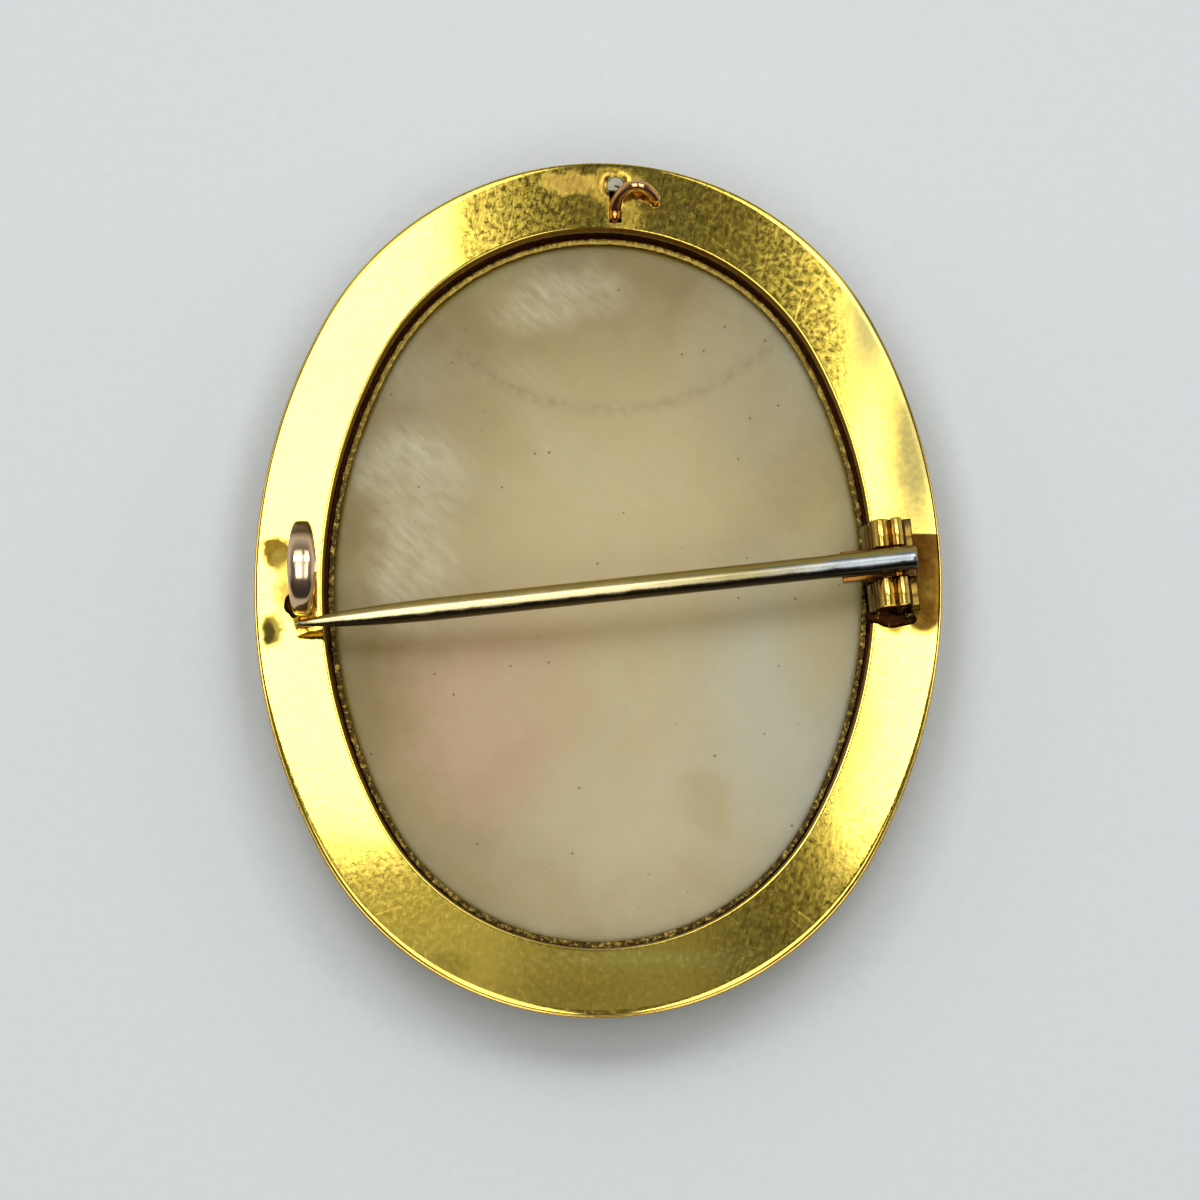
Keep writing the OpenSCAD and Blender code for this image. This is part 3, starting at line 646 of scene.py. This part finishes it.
# A faint brown arc crosses the upper part, a third of a circle round a point near the rim.
arc_x, arc_y, arc_r, arc_w = 0.64, 22.2, 12.2, 0.55
flat = add(tree, "VectorMath", {0: place, 1: (1.0, 1.0, 0.0)}, operation="MULTIPLY")
from_arc = add(tree, "VectorMath", {0: flat, 1: (arc_x, arc_y, 0.0)}, operation="SUBTRACT")
from_arc = add(tree, "VectorMath", {0: from_arc}, out="Value", operation="LENGTH")
from_arc = add(tree, "Math", {0: from_arc, 1: arc_r}, operation="SUBTRACT")
from_arc = add(tree, "Math", {0: from_arc}, operation="ABSOLUTE")
arc = add(tree, "MapRange", {"Value": from_arc, "From Min": arc_w, "From Max": 0.0})
faint = add(tree, "TexNoise", {"Vector": place, "Scale": 2.2, "Detail": 4.0})
faint = {"Value": faint, "From Min": 0.35, "From Max": 0.75, "To Min": 0.05, "To Max": 0.4}
arc = add(tree, "Math", {0: arc, 1: add(tree, "MapRange", faint)}, operation="MULTIPLY")
specks = add(tree, "TexVoronoi", {"Vector": place, "Scale": 0.75})
specks = add(tree, "MapRange", {"Value": specks, "From Min": 0.07, "From Max": 0.03, "To Max": 0.8})
for share, tone in [(white, "E0D5B0"), (arc, "7A5E30"), (specks, "5A4020")]:
    colour = add(tree, "Mix", {SHARE: share, UNDER: colour, OVER: tone}, MIXED, data_type="RGBA")

# The front: a pale layer is left as the relief, over a ground of brown pink.
carved = add(tree, "Attribute", {}, out="Fac", attribute_name="carved")
pale = add(tree, "MapRange", {"Value": carved, "From Min": 0.02, "From Max": 0.3})
face_colour = add(tree, "Mix", {SHARE: pale, UNDER: "C08560", OVER: "F0E2D2"}, MIXED, data_type="RGBA")
at_front = add(tree, "Attribute", {}, out="Fac", attribute_name="at_front")
colour = add(tree, "Mix", {SHARE: at_front, UNDER: colour, OVER: face_colour}, MIXED, data_type="RGBA")
rough = add(tree, "MapRange", {"Value": streaks, "To Min": 0.38, "To Max": 0.55})

# Marks of grinding and pores, drawn several times as coarse as they are.
pores = add(tree, "TexNoise", {"Vector": place, "Scale": 3.0, "Detail": 2.0})
relief = add(tree, "Bump", {"Height": pores, "Distance": 0.03 * MM, "Strength": 1.0})
look = {
    "Base Color": colour,
    "Roughness": rough,
    "IOR": 1.53,
    "Subsurface Weight": 1.0,
    "Subsurface Radius": (1.0, 0.75, 0.5),
    "Subsurface Scale": 5.0 * MM,
    "Normal": relief,
}
add(tree, "OutputMaterial", {"Surface": add(tree, "BsdfPrincipled", look)})
cameo.data.materials.append(ground_shell)

# Vent plug: a disc of old lead solder that closes the border's vent. It is worn, dished and
# scratched, and cut off straight where the hook's slot meets it.
plug_r = vent_r - 0.02
plug_top = plate_under + 0.34
plug_low = slot_y1 + 0.02
turns = np.linspace(0, 2 * pi, 73)[:-1][None, :]


def plug_ring(share, height):
    """A ring of the plug, shrunk to that share, whose lower side is cut off straight."""
    x = slot_x + share * plug_r * np.cos(turns)
    y = np.maximum(vent_y + plug_r * np.sin(turns), plug_low) - vent_y
    return np.stack([x, vent_y + share * y, height + 0 * x], -1)


sides = [(0, plate_under), (1, plate_under), (1, plug_top - 0.06)]
rings = [plug_ring(share, z) for share, z in sides]
rings += [plug_ring(share, plug_top) for share in np.linspace(0.93, 0, 22)]
rings = np.concatenate(rings)
on_top = (rings[..., 2] > plug_top - 0.01) * 1.0
score_turn = 0.35
across_score = (rings[..., 0] - slot_x) * sin(score_turn)
across_score += (rings[..., 1] - vent_y + 0.03) * cos(score_turn)
scored = on_top * np.exp(-((across_score / 0.035) ** 2)) * (rings[..., 0] > slot_x - 0.05)
rings[..., 2] -= 0.09 * scored + 0.03 * on_top * (1 - uneven(rings, 0.22, 13))
vent_plug = loft("vent_plug", rings, scored=scored)
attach(vent_plug, "brooch")
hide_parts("vent_plug")

# Weathered lead solder: a grey white skin with fine pits, nearly matt, and black in its scratch.
lead_solder, tree, place = start_finish("weathered lead solder")
pits = add(tree, "TexNoise", {"Vector": place, "Scale": 9.0, "Detail": 4.0})
colour = add(tree, "Mix", {SHARE: pits, UNDER: "8F8A6E", OVER: "C8C4AE"}, MIXED, data_type="RGBA")
scored = add(tree, "Attribute", {}, out="Fac", attribute_name="scored")
colour = add(tree, "Mix", {SHARE: scored, UNDER: colour, OVER: "1E160C"}, MIXED, data_type="RGBA")
relief = add(tree, "Bump", {"Height": pits, "Distance": 0.03 * MM, "Strength": 1.0})
look = {"Base Color": colour, "Roughness": 0.55, "Metallic": 0.5, "Normal": relief}
add(tree, "OutputMaterial", {"Surface": add(tree, "BsdfPrincipled", look)})
vent_plug.data.materials.append(lead_solder)

# Hook: a piece of round rose gold wire that rises out of the slot and turns half round, for a
# safety chain. Its root is raised and swollen with solder, and its free end is filed thin.
hook_r = 1.15
hook_start, hook_turn = radians(195), radians(175)
hook_x = slot_x - hook_r * cos(hook_start)
hook_y = slot_y0 + slot_w / 2 - hook_r * sin(hook_start)

# Its height follows a curve from its root, under the plate, over its top to its free end.
hook_root, hook_rise, hook_end = 0.75, 1.15, 0.5
hook_bend = 4 * hook_rise + 3 * hook_root - hook_end
hook_fall = hook_end + hook_root - hook_bend


def tube(name, path, radii, sides=24, place=Matrix.Identity(4), along=None, **marks):
    """A wire along a path in mm, with its radius at each point. A straight one names its
    direction in along."""
    path, radii = np.asarray(path, float), np.asarray(radii, float)[:, None, None]
    along = np.gradient(path, axis=0) if along is None else np.tile(along, (len(path), 1))
    side = np.cross(along, (0.0, 0.0, 1.0))
    side /= np.linalg.norm(side, axis=1)[:, None]
    over = np.cross(side, along)
    over /= np.linalg.norm(over, axis=1)[:, None]
    turn = np.linspace(0, 2 * pi, sides + 1)[:-1][None, :, None]
    rows = path[:, None] + radii * (np.cos(turn) * side[:, None] + np.sin(turn) * over[:, None])
    return loft(name, rows, place=place, **marks)


s = np.linspace(0, 1, 90)
turn = hook_start - hook_turn * s
at_root = np.exp(-((s / 0.09) ** 2))
height = face - hook_root + hook_bend * s + hook_fall * s**2 + 0.62 * at_root
across, along = hook_x + hook_r * np.cos(turn), hook_y + hook_r * np.sin(turn)
path = np.stack([across, along - 0.26 * at_root, height], -1)
wire = 0.275 + 0.075 * np.exp(-(((s - 0.15) / 0.13) ** 2)) - 0.04 * s**3
wire = wire * (1 + 0.03 * uneven(path, 0.5, 15))
wire = wire * np.sqrt(np.clip(np.minimum(s, 1 - s) / 0.04, 0, 1))
wire_hook = tube("wire_hook", path, wire, sides=32, solder=np.clip(1 - s / 0.38, 0, 1)[:, None])
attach(wire_hook, "brooch")
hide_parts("wire_hook")

# Rose gold wire: drawn smooth and coppery, with sharp highlights. Towards its root the solder is
# orange and brown.
rose_wire, tree, place = start_finish("drawn rose gold wire")
colour, rough, height = gold_skin(tree, place, "E6B27A", "C88E56", "7A4A1E", grain=0.35, most=0.45)
solder = add(tree, "Attribute", {}, out="Fac", attribute_name="solder")
colour = add(tree, "Mix", {SHARE: solder, UNDER: colour, OVER: "D08430"}, MIXED, data_type="RGBA")
metal(rose_wire, colour, rough, height)
wire_hook.data.materials.append(rose_wire)

# Catch: an open C of rose gold strip, leaf shaped seen from above and domed on its outside. The
# pin's point springs in through its mouth. It stands on a foot in a puddle of solder, and leans
# a little towards the bottom of the oval.
catch_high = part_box("c_catch")[1] / MM
catch_r, catch_t, catch_w, waist_w = 2.5, 0.55, 1.45, 0.9
crown_r, catch_mouth = 2.8, radians(62)
catch_x = half_w - plate_in + 0.275 + catch_w / 2
catch_y = catch_high.y - catch_r
leaf_r = (catch_r**2 + ((catch_w - waist_w) / 2) ** 2) / (catch_w - waist_w)


def leaf_half(along):
    """Half the strip's width seen from above, at a place along the C."""
    return np.sqrt(leaf_r**2 - along**2) - leaf_r + catch_w / 2


# The strip's edges are rounded off, outside more than inside, and so is its free end.
sweep = np.linspace(-pi / 2, 1.5 * pi - catch_mouth, 121)
narrow = np.ones_like(sweep)
narrow[-6:] = np.sqrt(1 - np.linspace(0, 0.97, 6) ** 2)
across = np.concatenate([np.linspace(-1, 1, 17), np.linspace(1, -1, 9)])
outside = np.array([True] * 17 + [False] * 9)
rows = []
for a, share in zip(sweep, narrow):
    x = across * leaf_half((catch_r - catch_t * ~outside) * cos(a)) * share
    crown = catch_r - crown_r + np.sqrt(crown_r**2 - x**2) - 0.14 * np.abs(across) ** 6
    bed = catch_r - catch_t + 0.04 * np.abs(across) ** 8
    middle = catch_r - catch_t / 2
    r = middle + (np.where(outside, crown, bed) - middle) * share
    rows.append(np.stack([x, r * cos(a), catch_r + r * sin(a)], -1))
catch_lean, catch_sunk = radians(5), 0.02
stand = Matrix.Translation((-catch_x, catch_y, face - catch_sunk))
stand = stand @ Matrix.Rotation(catch_lean, 4, "X")
c_catch = loft("c_catch", rows, place=stand)


def mound(name, centre, size, high, seed):
    """A puddle of solder on the plate, with a wandering edge, no higher than its middle."""
    turn = np.linspace(0, 2 * pi, 65)[:-1][None, :]
    shares = np.sin(np.linspace(pi / 2, 0, 14))[:, None]
    wander = np.stack([np.cos(turn), np.sin(turn), 0 * turn], -1)
    wander = 1 + 0.3 * uneven(wander, 0.6, seed)
    x = centre[0] + shares * wander * size[0] * np.cos(turn)
    y = centre[1] + shares * wander * size[1] * np.sin(turn)
    rings = np.stack([x, y, face - 0.08 + high * np.sqrt(1 - shares**2) + 0 * x], -1)
    rings[..., 2] += 0.25 * high * uneven(rings, 0.3, seed) * (1 - shares**2)
    base = np.array(rings[:1])
    base[..., 2] = face - 0.1
    return loft(name, np.concatenate([base, rings]))


foot_low = (-catch_x - 0.6, catch_y - 1.25, face - 0.05)
foot_high = (-catch_x + 0.6, catch_y + 1.25, face + 0.34)
cut(c_catch, block("catch_foot", foot_low, foot_high, 0.3), "UNION")
catch_solder = mound("catch_solder", (-catch_x - 0.45, catch_y - 1.75), (0.6, 0.65), 0.2, 17)
for piece in (c_catch, catch_solder):
    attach(piece, "brooch")
    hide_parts("c_catch")

# Polished rose gold strip: pinker than the wire, and nearly a mirror, so it shows the lights as
# soft white spots. Its back, towards the top of the oval, is painted dull brown as shade and as
# the plate's reflection.
rose_strip, tree, place = start_finish("polished rose gold strip")
colour, rough, height = gold_skin(tree, place, "EACBA6", "DDB88E", "A87850", grain=0.5, most=0.3)
rough = add(tree, "Math", {0: rough, 1: 0.09}, operation="ADD")
# The back of the C is painted brown: painted shade and reflection.
north = add(tree, "SeparateXYZ", {0: place}, out="Y")
back_shade_and_reflection = {"Value": north, "From Min": catch_y + 0.95, "From Max": catch_y + 1.35, "To Max": 0.9}
back_shade_and_reflection = add(tree, "MapRange", back_shade_and_reflection)
colour = add(tree, "Mix", {SHARE: back_shade_and_reflection, UNDER: colour, OVER: "5E4212"}, MIXED, data_type="RGBA")
metal(rose_strip, colour, rough, height)
c_catch.data.materials.append(rose_strip)

# Burnt solder: melted gold alloy that flux and heat left black and brown, with small yellow
# specks painted on as glints.
burnt_solder, tree, place = start_finish("burnt gold solder")
colour, rough, height = gold_skin(tree, place, "3A1E08", "1C0E04", "0C0602", grain=0.35)
painted_glints = add(tree, "TexNoise", {"Vector": place, "Scale": 2.6, "Detail": 4.0, "Roughness": 0.6})
painted_glints = add(tree, "MapRange", {"Value": painted_glints, "From Min": 0.6, "From Max": 0.72, "To Max": 0.8})
colour = add(tree, "Mix", {SHARE: painted_glints, UNDER: colour, OVER: "C09440"}, MIXED, data_type="RGBA")
rough = add(tree, "Math", {0: rough, 1: 0.3}, operation="ADD")
metal(burnt_solder, colour, rough, height)
catch_solder.data.materials.append(burnt_solder)

# Hinge: two knuckles of gold on a foot, soldered on the right of the plate. Each is a bar whose
# top is worn into two ridges, and the rivet's bore runs through both.
hinge_joint = frame["joints"][0]
bore = Vector(hinge_joint["pos_m"]) / MM
slant = atan2(-hinge_joint["axis"][0], hinge_joint["axis"][1])
rivet_x, rivet_r, rivet_h = 0.35, 0.4, bore.z - face
knuckle_l, knuckle_gap = 1.475, 1.7
hinge_l = knuckle_gap + 2 * knuckle_l
hinge_left, hinge_right, foot_t = 1.4, 1.3, 0.2
turned_hinge = Matrix.Rotation(slant, 4, "Z")
at_hinge = Matrix.Translation(bore) @ turned_hinge @ Matrix.Translation((-rivet_x, 0, -rivet_h))
FLANKS = [
    # across, height
    (-hinge_left, foot_t),
    (-1.25, 0.85),
    (-1.08, 0.95),
    (-0.97, 1.72),
    (-0.87, 1.85),
    (0.73, 1.85),
    (0.83, 1.45),
    (1.24, 1.45),
    (hinge_right, foot_t),
]
RIDGES = [
    # across, radius, height of its centre
    (-0.42, 0.45, 1.85),
    (0.42, 0.31, 1.99),
]
x = np.linspace(-hinge_left, hinge_right, 109)
top = np.interp(x, *zip(*FLANKS))
for middle, radius, height in RIDGES:
    inside = np.clip(radius**2 - (x - middle) ** 2, 0, None)
    top = np.where(inside > 0, np.maximum(top, height + np.sqrt(inside)), top)
outline = [(-hinge_left, 0.0), *zip(x, top), (hinge_right, 0.0)]


def bar(name, outline, ends, place, worn=0.04):
    """A bar along Y with an outline in X and Z, whose sharp edges are worn round."""
    piece = loft(name, [[(x, y, z) for x, z in outline] for y in ends])
    shape = bmesh.new()
    shape.from_mesh(piece.data)
    sharp = [e for e in shape.edges if e.is_manifold and e.calc_face_angle() > radians(35)]
    bmesh.ops.bevel(shape, geom=sharp, offset=worn * MM, segments=2, profile=0.5, affect="EDGES")
    shape.to_mesh(piece.data)
    shape.free()
    piece.data.transform(Matrix.Scale(MM, 4) @ place @ Matrix.Scale(1 / MM, 4))
    shade(piece.data)
    return piece


hinge_base = bar("hinge_base", outline, (-hinge_l / 2, -knuckle_gap / 2), at_hinge)
cut(hinge_base, bar("knuckle", outline, (knuckle_gap / 2, hinge_l / 2), at_hinge), "UNION")
foot = [(-hinge_left, 0.0), (-hinge_left, foot_t), (hinge_right, foot_t), (hinge_right, 0.0)]
cut(hinge_base, bar("foot", foot, (-hinge_l / 2, hinge_l / 2), at_hinge), "UNION")
bore_path = [(rivet_x, -3.0, rivet_h), (rivet_x, 3.0, rivet_h)]
cut(hinge_base, tube("bore", bore_path, [rivet_r + 0.02] * 2, 64, at_hinge, (0, 1, 0)))
hinge_solder = mound("hinge_solder", (15.5, -1.45), (1.25, 0.75), 0.25, 19)
solder_bead = mound("solder_bead", (16.4, -1.55), (0.3, 0.28), 0.42, 23)
for piece in (hinge_base, hinge_solder, solder_bead):
    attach(piece, "brooch")
    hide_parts("hinge_base")

# Worn yellow gold fitting with a brown film: bright on its ridges, and darker brown everywhere below them.
fitting_gold, tree, place = start_finish("worn yellow gold fitting")
colour, rough, height = gold_skin(tree, place, "F0D070", "CFA03C", "7A4E1A", grain=0.45)
rough = add(tree, "Math", {0: rough, 1: 0.08}, operation="ADD")
up = add(tree, "SeparateXYZ", {0: place}, out="Z")
low = {"Value": up, "From Min": face + 2.12, "From Max": face + 1.85, "To Max": 0.8}
low = add(tree, "MapRange", low)
colour = add(tree, "Mix", {SHARE: low, UNDER: colour, OVER: "3E2A0C"}, MIXED, data_type="RGBA")
metal(fitting_gold, colour, rough, height)
hinge_base.data.materials.append(fitting_gold)
solder_bead.data.materials.append(fitting_gold)
hinge_solder.data.materials.append(burnt_solder)

# Rivet: a pin of gold wire through the three knuckles, with its ends just domed by the hammer.
y = np.linspace(-hinge_l / 2, hinge_l / 2, 61)
path = np.stack([np.full_like(y, rivet_x), y, np.full_like(y, rivet_h)], -1)
rivet_ends = np.clip((hinge_l / 2 - np.abs(y)) / 0.12, 0, 1)
hinge_rivet = tube("hinge_rivet", path, rivet_r * rivet_ends**0.35, 48, at_hinge)
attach(hinge_rivet, "brooch")
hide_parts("hinge_rivet")
hinge_rivet.data.materials.append(fitting_gold)

# Tongue: the pin's gold knuckle, with the bar that carries the stem in a hollow and the heel
# that stops it on the foot.
stem_dip = radians(1.2)
stem_r, tail_r = 0.6, 0.62
knuckle_r = rivet_r + 0.04 + 0.46
cradle_r = tail_r + 0.02
stem_h = rivet_h + rivet_r + 0.04 + 0.17 + cradle_r
tongue_l, tongue_t, heel_l = 2.7, 0.75, 0.75
tongue_w = 2 * (cradle_r + 0.16)
tongue_top = stem_h - tail_r + 0.14
heel_z = foot_t + 0.05
heel_dip = -sqrt(knuckle_r**2 - rivet_x**2)
rise = tongue_top - rivet_h
bend = np.linspace(atan2(heel_dip, -rivet_x), atan2(rise, -sqrt(knuckle_r**2 - rise**2)), 49)
outline = [(rivet_x + knuckle_r * cos(a), rivet_h + knuckle_r * sin(a)) for a in bend]
outline += [
    (-tongue_l, tongue_top),
    (-tongue_l, tongue_top - tongue_t),
    (-heel_l, tongue_top - tongue_t),
    (-heel_l, heel_z),
    (0.0, heel_z),
]
pin_tongue = bar("pin_tongue", outline, (-tongue_w / 2, tongue_w / 2), at_hinge)
cut(pin_tongue, tube("bore", bore_path, [rivet_r + 0.04] * 2, 64, at_hinge, (0, 1, 0)))
on_stem = at_hinge @ Matrix.Translation((0, 0, stem_h)) @ Matrix.Rotation(-stem_dip, 4, "Y")
cradle_path = [(5.0, 0, 0), (-8.0, 0, 0)]
cut(pin_tongue, tube("cradle", cradle_path, [cradle_r] * 2, 64, on_stem, (-1, 0, 0)))
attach(pin_tongue, "pin")
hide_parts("pin_tongue")

# Dark gold of the tongue: dull, and painted dark brown as the shade under the stem.
dark_gold, tree, place = start_finish("dull brown gold")
colour, rough, height = gold_skin(tree, place, "7E5622", "5E3C14", "2E1A08", grain=0.35)
metal(dark_gold, colour, rough, height)
pin_tongue.data.materials.append(dark_gold)

# Stem: a round steel wire with a square-cut tail, soldered in the tongue's hollow, and a long
# tapered point. It was gilt once.
tail_l = hinge_right + 0.02
tail_end, neck_l, point_l, stem_l = 3.0, 0.6, 7.2, 31.7
POINT = [
    # share of the point's length, share of the stem's radius
    (0.00, 1.00),
    (0.30, 0.90),
    (0.60, 0.72),
    (0.88, 0.40),
    (0.97, 0.20),
    (1.00, 0.00),
]
PROFILE = [
    # distance from the fitting, radius
    (-tail_l, 0.0),
    (-tail_l, tail_r - 0.09),
    (-tail_l + 0.03, tail_r - 0.03),
    (-tail_l + 0.09, tail_r),
    (tail_end, tail_r),
    (tail_end + neck_l, stem_r),
    *[(stem_l - point_l * (1 - out), stem_r * share) for out, share in POINT],
]
along, radii = [], []
for (d0, r0), (d1, r1) in zip(PROFILE, PROFILE[1:]):
    count = max(1, ceil((d1 - d0) / 0.25))
    along += [d0 + (d1 - d0) * k / count for k in range(count)]
    radii += [r0 + (r1 - r0) * k / count for k in range(count)]
along, radii = np.array(along + [stem_l]), np.array(radii + [0.0])
path = np.stack([-along, 0 * along, 0 * along], -1)
radii = radii * (1 + 0.006 * uneven(path, 1.5, 29))
stem_turn = np.linspace(0, 2 * pi, 65)[:-1][None, :]
pin_stem = tube("pin_stem", path, radii, 64, on_stem, (-1, 0, 0), upper=np.cos(stem_turn))
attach(pin_stem, "pin")
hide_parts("pin_stem")

# Worn gilt steel: blue grey by the hinge where the gilding is gone, olive and then pale yellow
# towards the point, olive along its upper side, and painted dark brown along its underside as
# shade. It is drawn wire, so fine lines run along it.
gilt_steel, tree, place = start_finish("worn gilt steel")
drift = add(tree, "TexNoise", {"Vector": place, "Scale": 0.9, "Detail": 5.0, "Roughness": 0.65})
colour = add(tree, "Mix", {SHARE: drift, UNDER: "7E8688", OVER: "A9AFB0"}, MIXED, data_type="RGBA")
east = add(tree, "SeparateXYZ", {0: place}, out="X")
for start, end, most, tone in [(13.0, 8.0, 0.8, "9A8A4E"), (7.0, 1.0, 0.85, "E0CE9A")]:
    kept = add(tree, "MapRange", {"Value": east, "From Min": start, "From Max": end, "To Max": most})
    colour = add(tree, "Mix", {SHARE: kept, UNDER: colour, OVER: tone}, MIXED, data_type="RGBA")
upper = add(tree, "Attribute", {}, out="Fac", attribute_name="upper")
worn = add(tree, "Math", {0: drift, 1: 0.9, 2: upper}, operation="MULTIPLY_ADD")
gilt = add(tree, "MapRange", {"Value": worn, "From Min": 0.7, "From Max": 0.88, "To Max": 0.9})
# The underside is painted dark brown as shade.
shade_below = add(tree, "MapRange", {"Value": worn, "From Min": 0.08, "From Max": -0.12, "To Max": 0.9})
for share, tone in [(gilt, "A08A3E"), (shade_below, "3A2A14")]:
    colour = add(tree, "Mix", {SHARE: share, UNDER: colour, OVER: tone}, MIXED, data_type="RGBA")
drawn = {"Vector": place, "Rotation": (0, 0, slant), "Scale": (2.5, 0.08, 0.08)}
drawn = add(tree, "Mapping", drawn, vector_type="TEXTURE")
drawn = add(tree, "TexNoise", {"Vector": drawn, "Scale": 1.0, "Detail": 2.0})
rough = {"Value": drawn, "From Min": 0.3, "From Max": 0.7, "To Min": 0.22, "To Max": 0.34}
rough = add(tree, "MapRange", rough)
rough = add(tree, "Math", {0: gilt, 1: 0.15, 2: rough}, operation="MULTIPLY_ADD")
metal(gilt_steel, colour, rough, add(tree, "Math", {0: drawn, 1: 0.002}, operation="MULTIPLY"))
pin_stem.data.materials.append(gilt_steel)

# Floor: a sheet of plain pale paper, far wider than the view. Its fibres are drawn ten times as
# coarse as they are, and hardly show.
floor_mesh = bpy.data.meshes.new("floor")
reach = 3.0
corners = [(x * reach, y * reach, 0) for x, y in [(-1, -1), (1, -1), (1, 1), (-1, 1)]]
floor_mesh.from_pydata(corners, [], [(0, 1, 2, 3)])
floor = bpy.data.objects.new("floor", floor_mesh)
bpy.context.scene.collection.objects.link(floor)
white_paper, tree, place = start_finish("smooth white paper")
fibres = add(tree, "TexNoise", {"Vector": place, "Scale": 1.5, "Detail": 1.0})
colour = add(tree, "Mix", {SHARE: fibres, UNDER: "E3E9E9", OVER: "E9EEEE"}, MIXED, data_type="RGBA")
relief = add(tree, "Bump", {"Height": fibres, "Distance": 0.02 * MM, "Strength": 1.0})
look = {"Base Color": colour, "Roughness": 0.85, "Normal": relief}
add(tree, "OutputMaterial", {"Surface": add(tree, "BsdfPrincipled", look)})
floor_mesh.materials.append(white_paper)

# Light: soft panels in one plane overhead, in a left and a right group with a dark gap between
# them. The bright pair towards the top of the oval is what the polished gold shows as pale areas,
# the dim pair beside it lights the lower end of the plate, and the others fill the shadows. The
# room round them is a dim grey, lighter low down.
PANELS = [
    # name, least and greatest x, least and greatest y, all in m, and glow
    ("left_panel", -0.115, -0.0106, 0.0287, 0.096, 5.6),
    ("right_panel", 0.0190, 0.123, 0.0317, 0.101, 5.6),
    ("right_end", 0.0184, 0.060, 0.0265, 0.0317, 5.6),
    ("far_left", -0.115, -0.0106, 0.097, 0.160, 1.8),
    ("far_right", 0.0190, 0.123, 0.102, 0.160, 1.8),
    ("dim_panel", -0.060, -0.006, 0.007, 0.0287, 0.30),
    ("dimmer_panel", -0.006, 0.009, 0.007, 0.0287, 0.14),
    ("low_left", -0.078, -0.0106, -0.170, 0.006, 3.0),
    ("low_right", 0.0190, 0.078, -0.170, 0.006, 3.0),
]
panel_height = 0.256
for name, x0, x1, y0, y1, panel_glow in PANELS:
    light = bpy.data.lights.new(name, "AREA")
    light.shape, light.size, light.size_y = "RECTANGLE", x1 - x0, y1 - y0
    light.energy = panel_glow * pi * (x1 - x0) * (y1 - y0)
    panel = bpy.data.objects.new(name, light)
    panel.location = ((x0 + x1) / 2, (y0 + y1) / 2, panel_height)
    bpy.context.scene.collection.objects.link(panel)
room = bpy.data.worlds.new("room")
room.use_nodes = True
tree = room.node_tree
tree.nodes.clear()
towards = add(tree, "TexCoord", {}, out="Generated")
up = add(tree, "SeparateXYZ", {0: towards}, out="Z")
front = add(tree, "SeparateXYZ", {0: towards}, out="Y")
sides = {"Value": front, "From Min": -0.6, "From Max": -0.2, "To Min": 0.05, "To Max": 0.75}
low_down = add(tree, "MapRange", {"Value": up, "From Min": 0.85, "From Max": 0.35})
glow = {0: low_down, 2: 0.12, 3: add(tree, "MapRange", sides)}
glow = add(tree, "Mix", glow, data_type="FLOAT")
glow = add(tree, "Background", {"Color": "F4F6F8", "Strength": glow})
add(tree, "OutputWorld", {"Surface": glow})
bpy.context.scene.world = room
bpy.context.scene.view_settings.view_transform = "Standard"

# Camera: straight above but for 10.5 degrees, seen from the bottom of the oval through a long
# lens, and moved a hair so that the oval's middle falls where the photo has it.
tilt = radians(10.5)
distance = 700
aside = Vector((0.106, -0.71, distance))
lens = bpy.data.cameras.new("camera")
lens.lens, lens.sensor_width, lens.clip_start = 397.6, 36, 0.01
camera = bpy.data.objects.new("camera", lens)
looking = Matrix.Translation((0, 0, face)) @ Matrix.Rotation(tilt, 4, "X")
camera.location = (looking @ aside) * MM
camera.rotation_euler = (tilt, 0, 0)
bpy.context.scene.collection.objects.link(camera)
bpy.context.scene.camera = camera
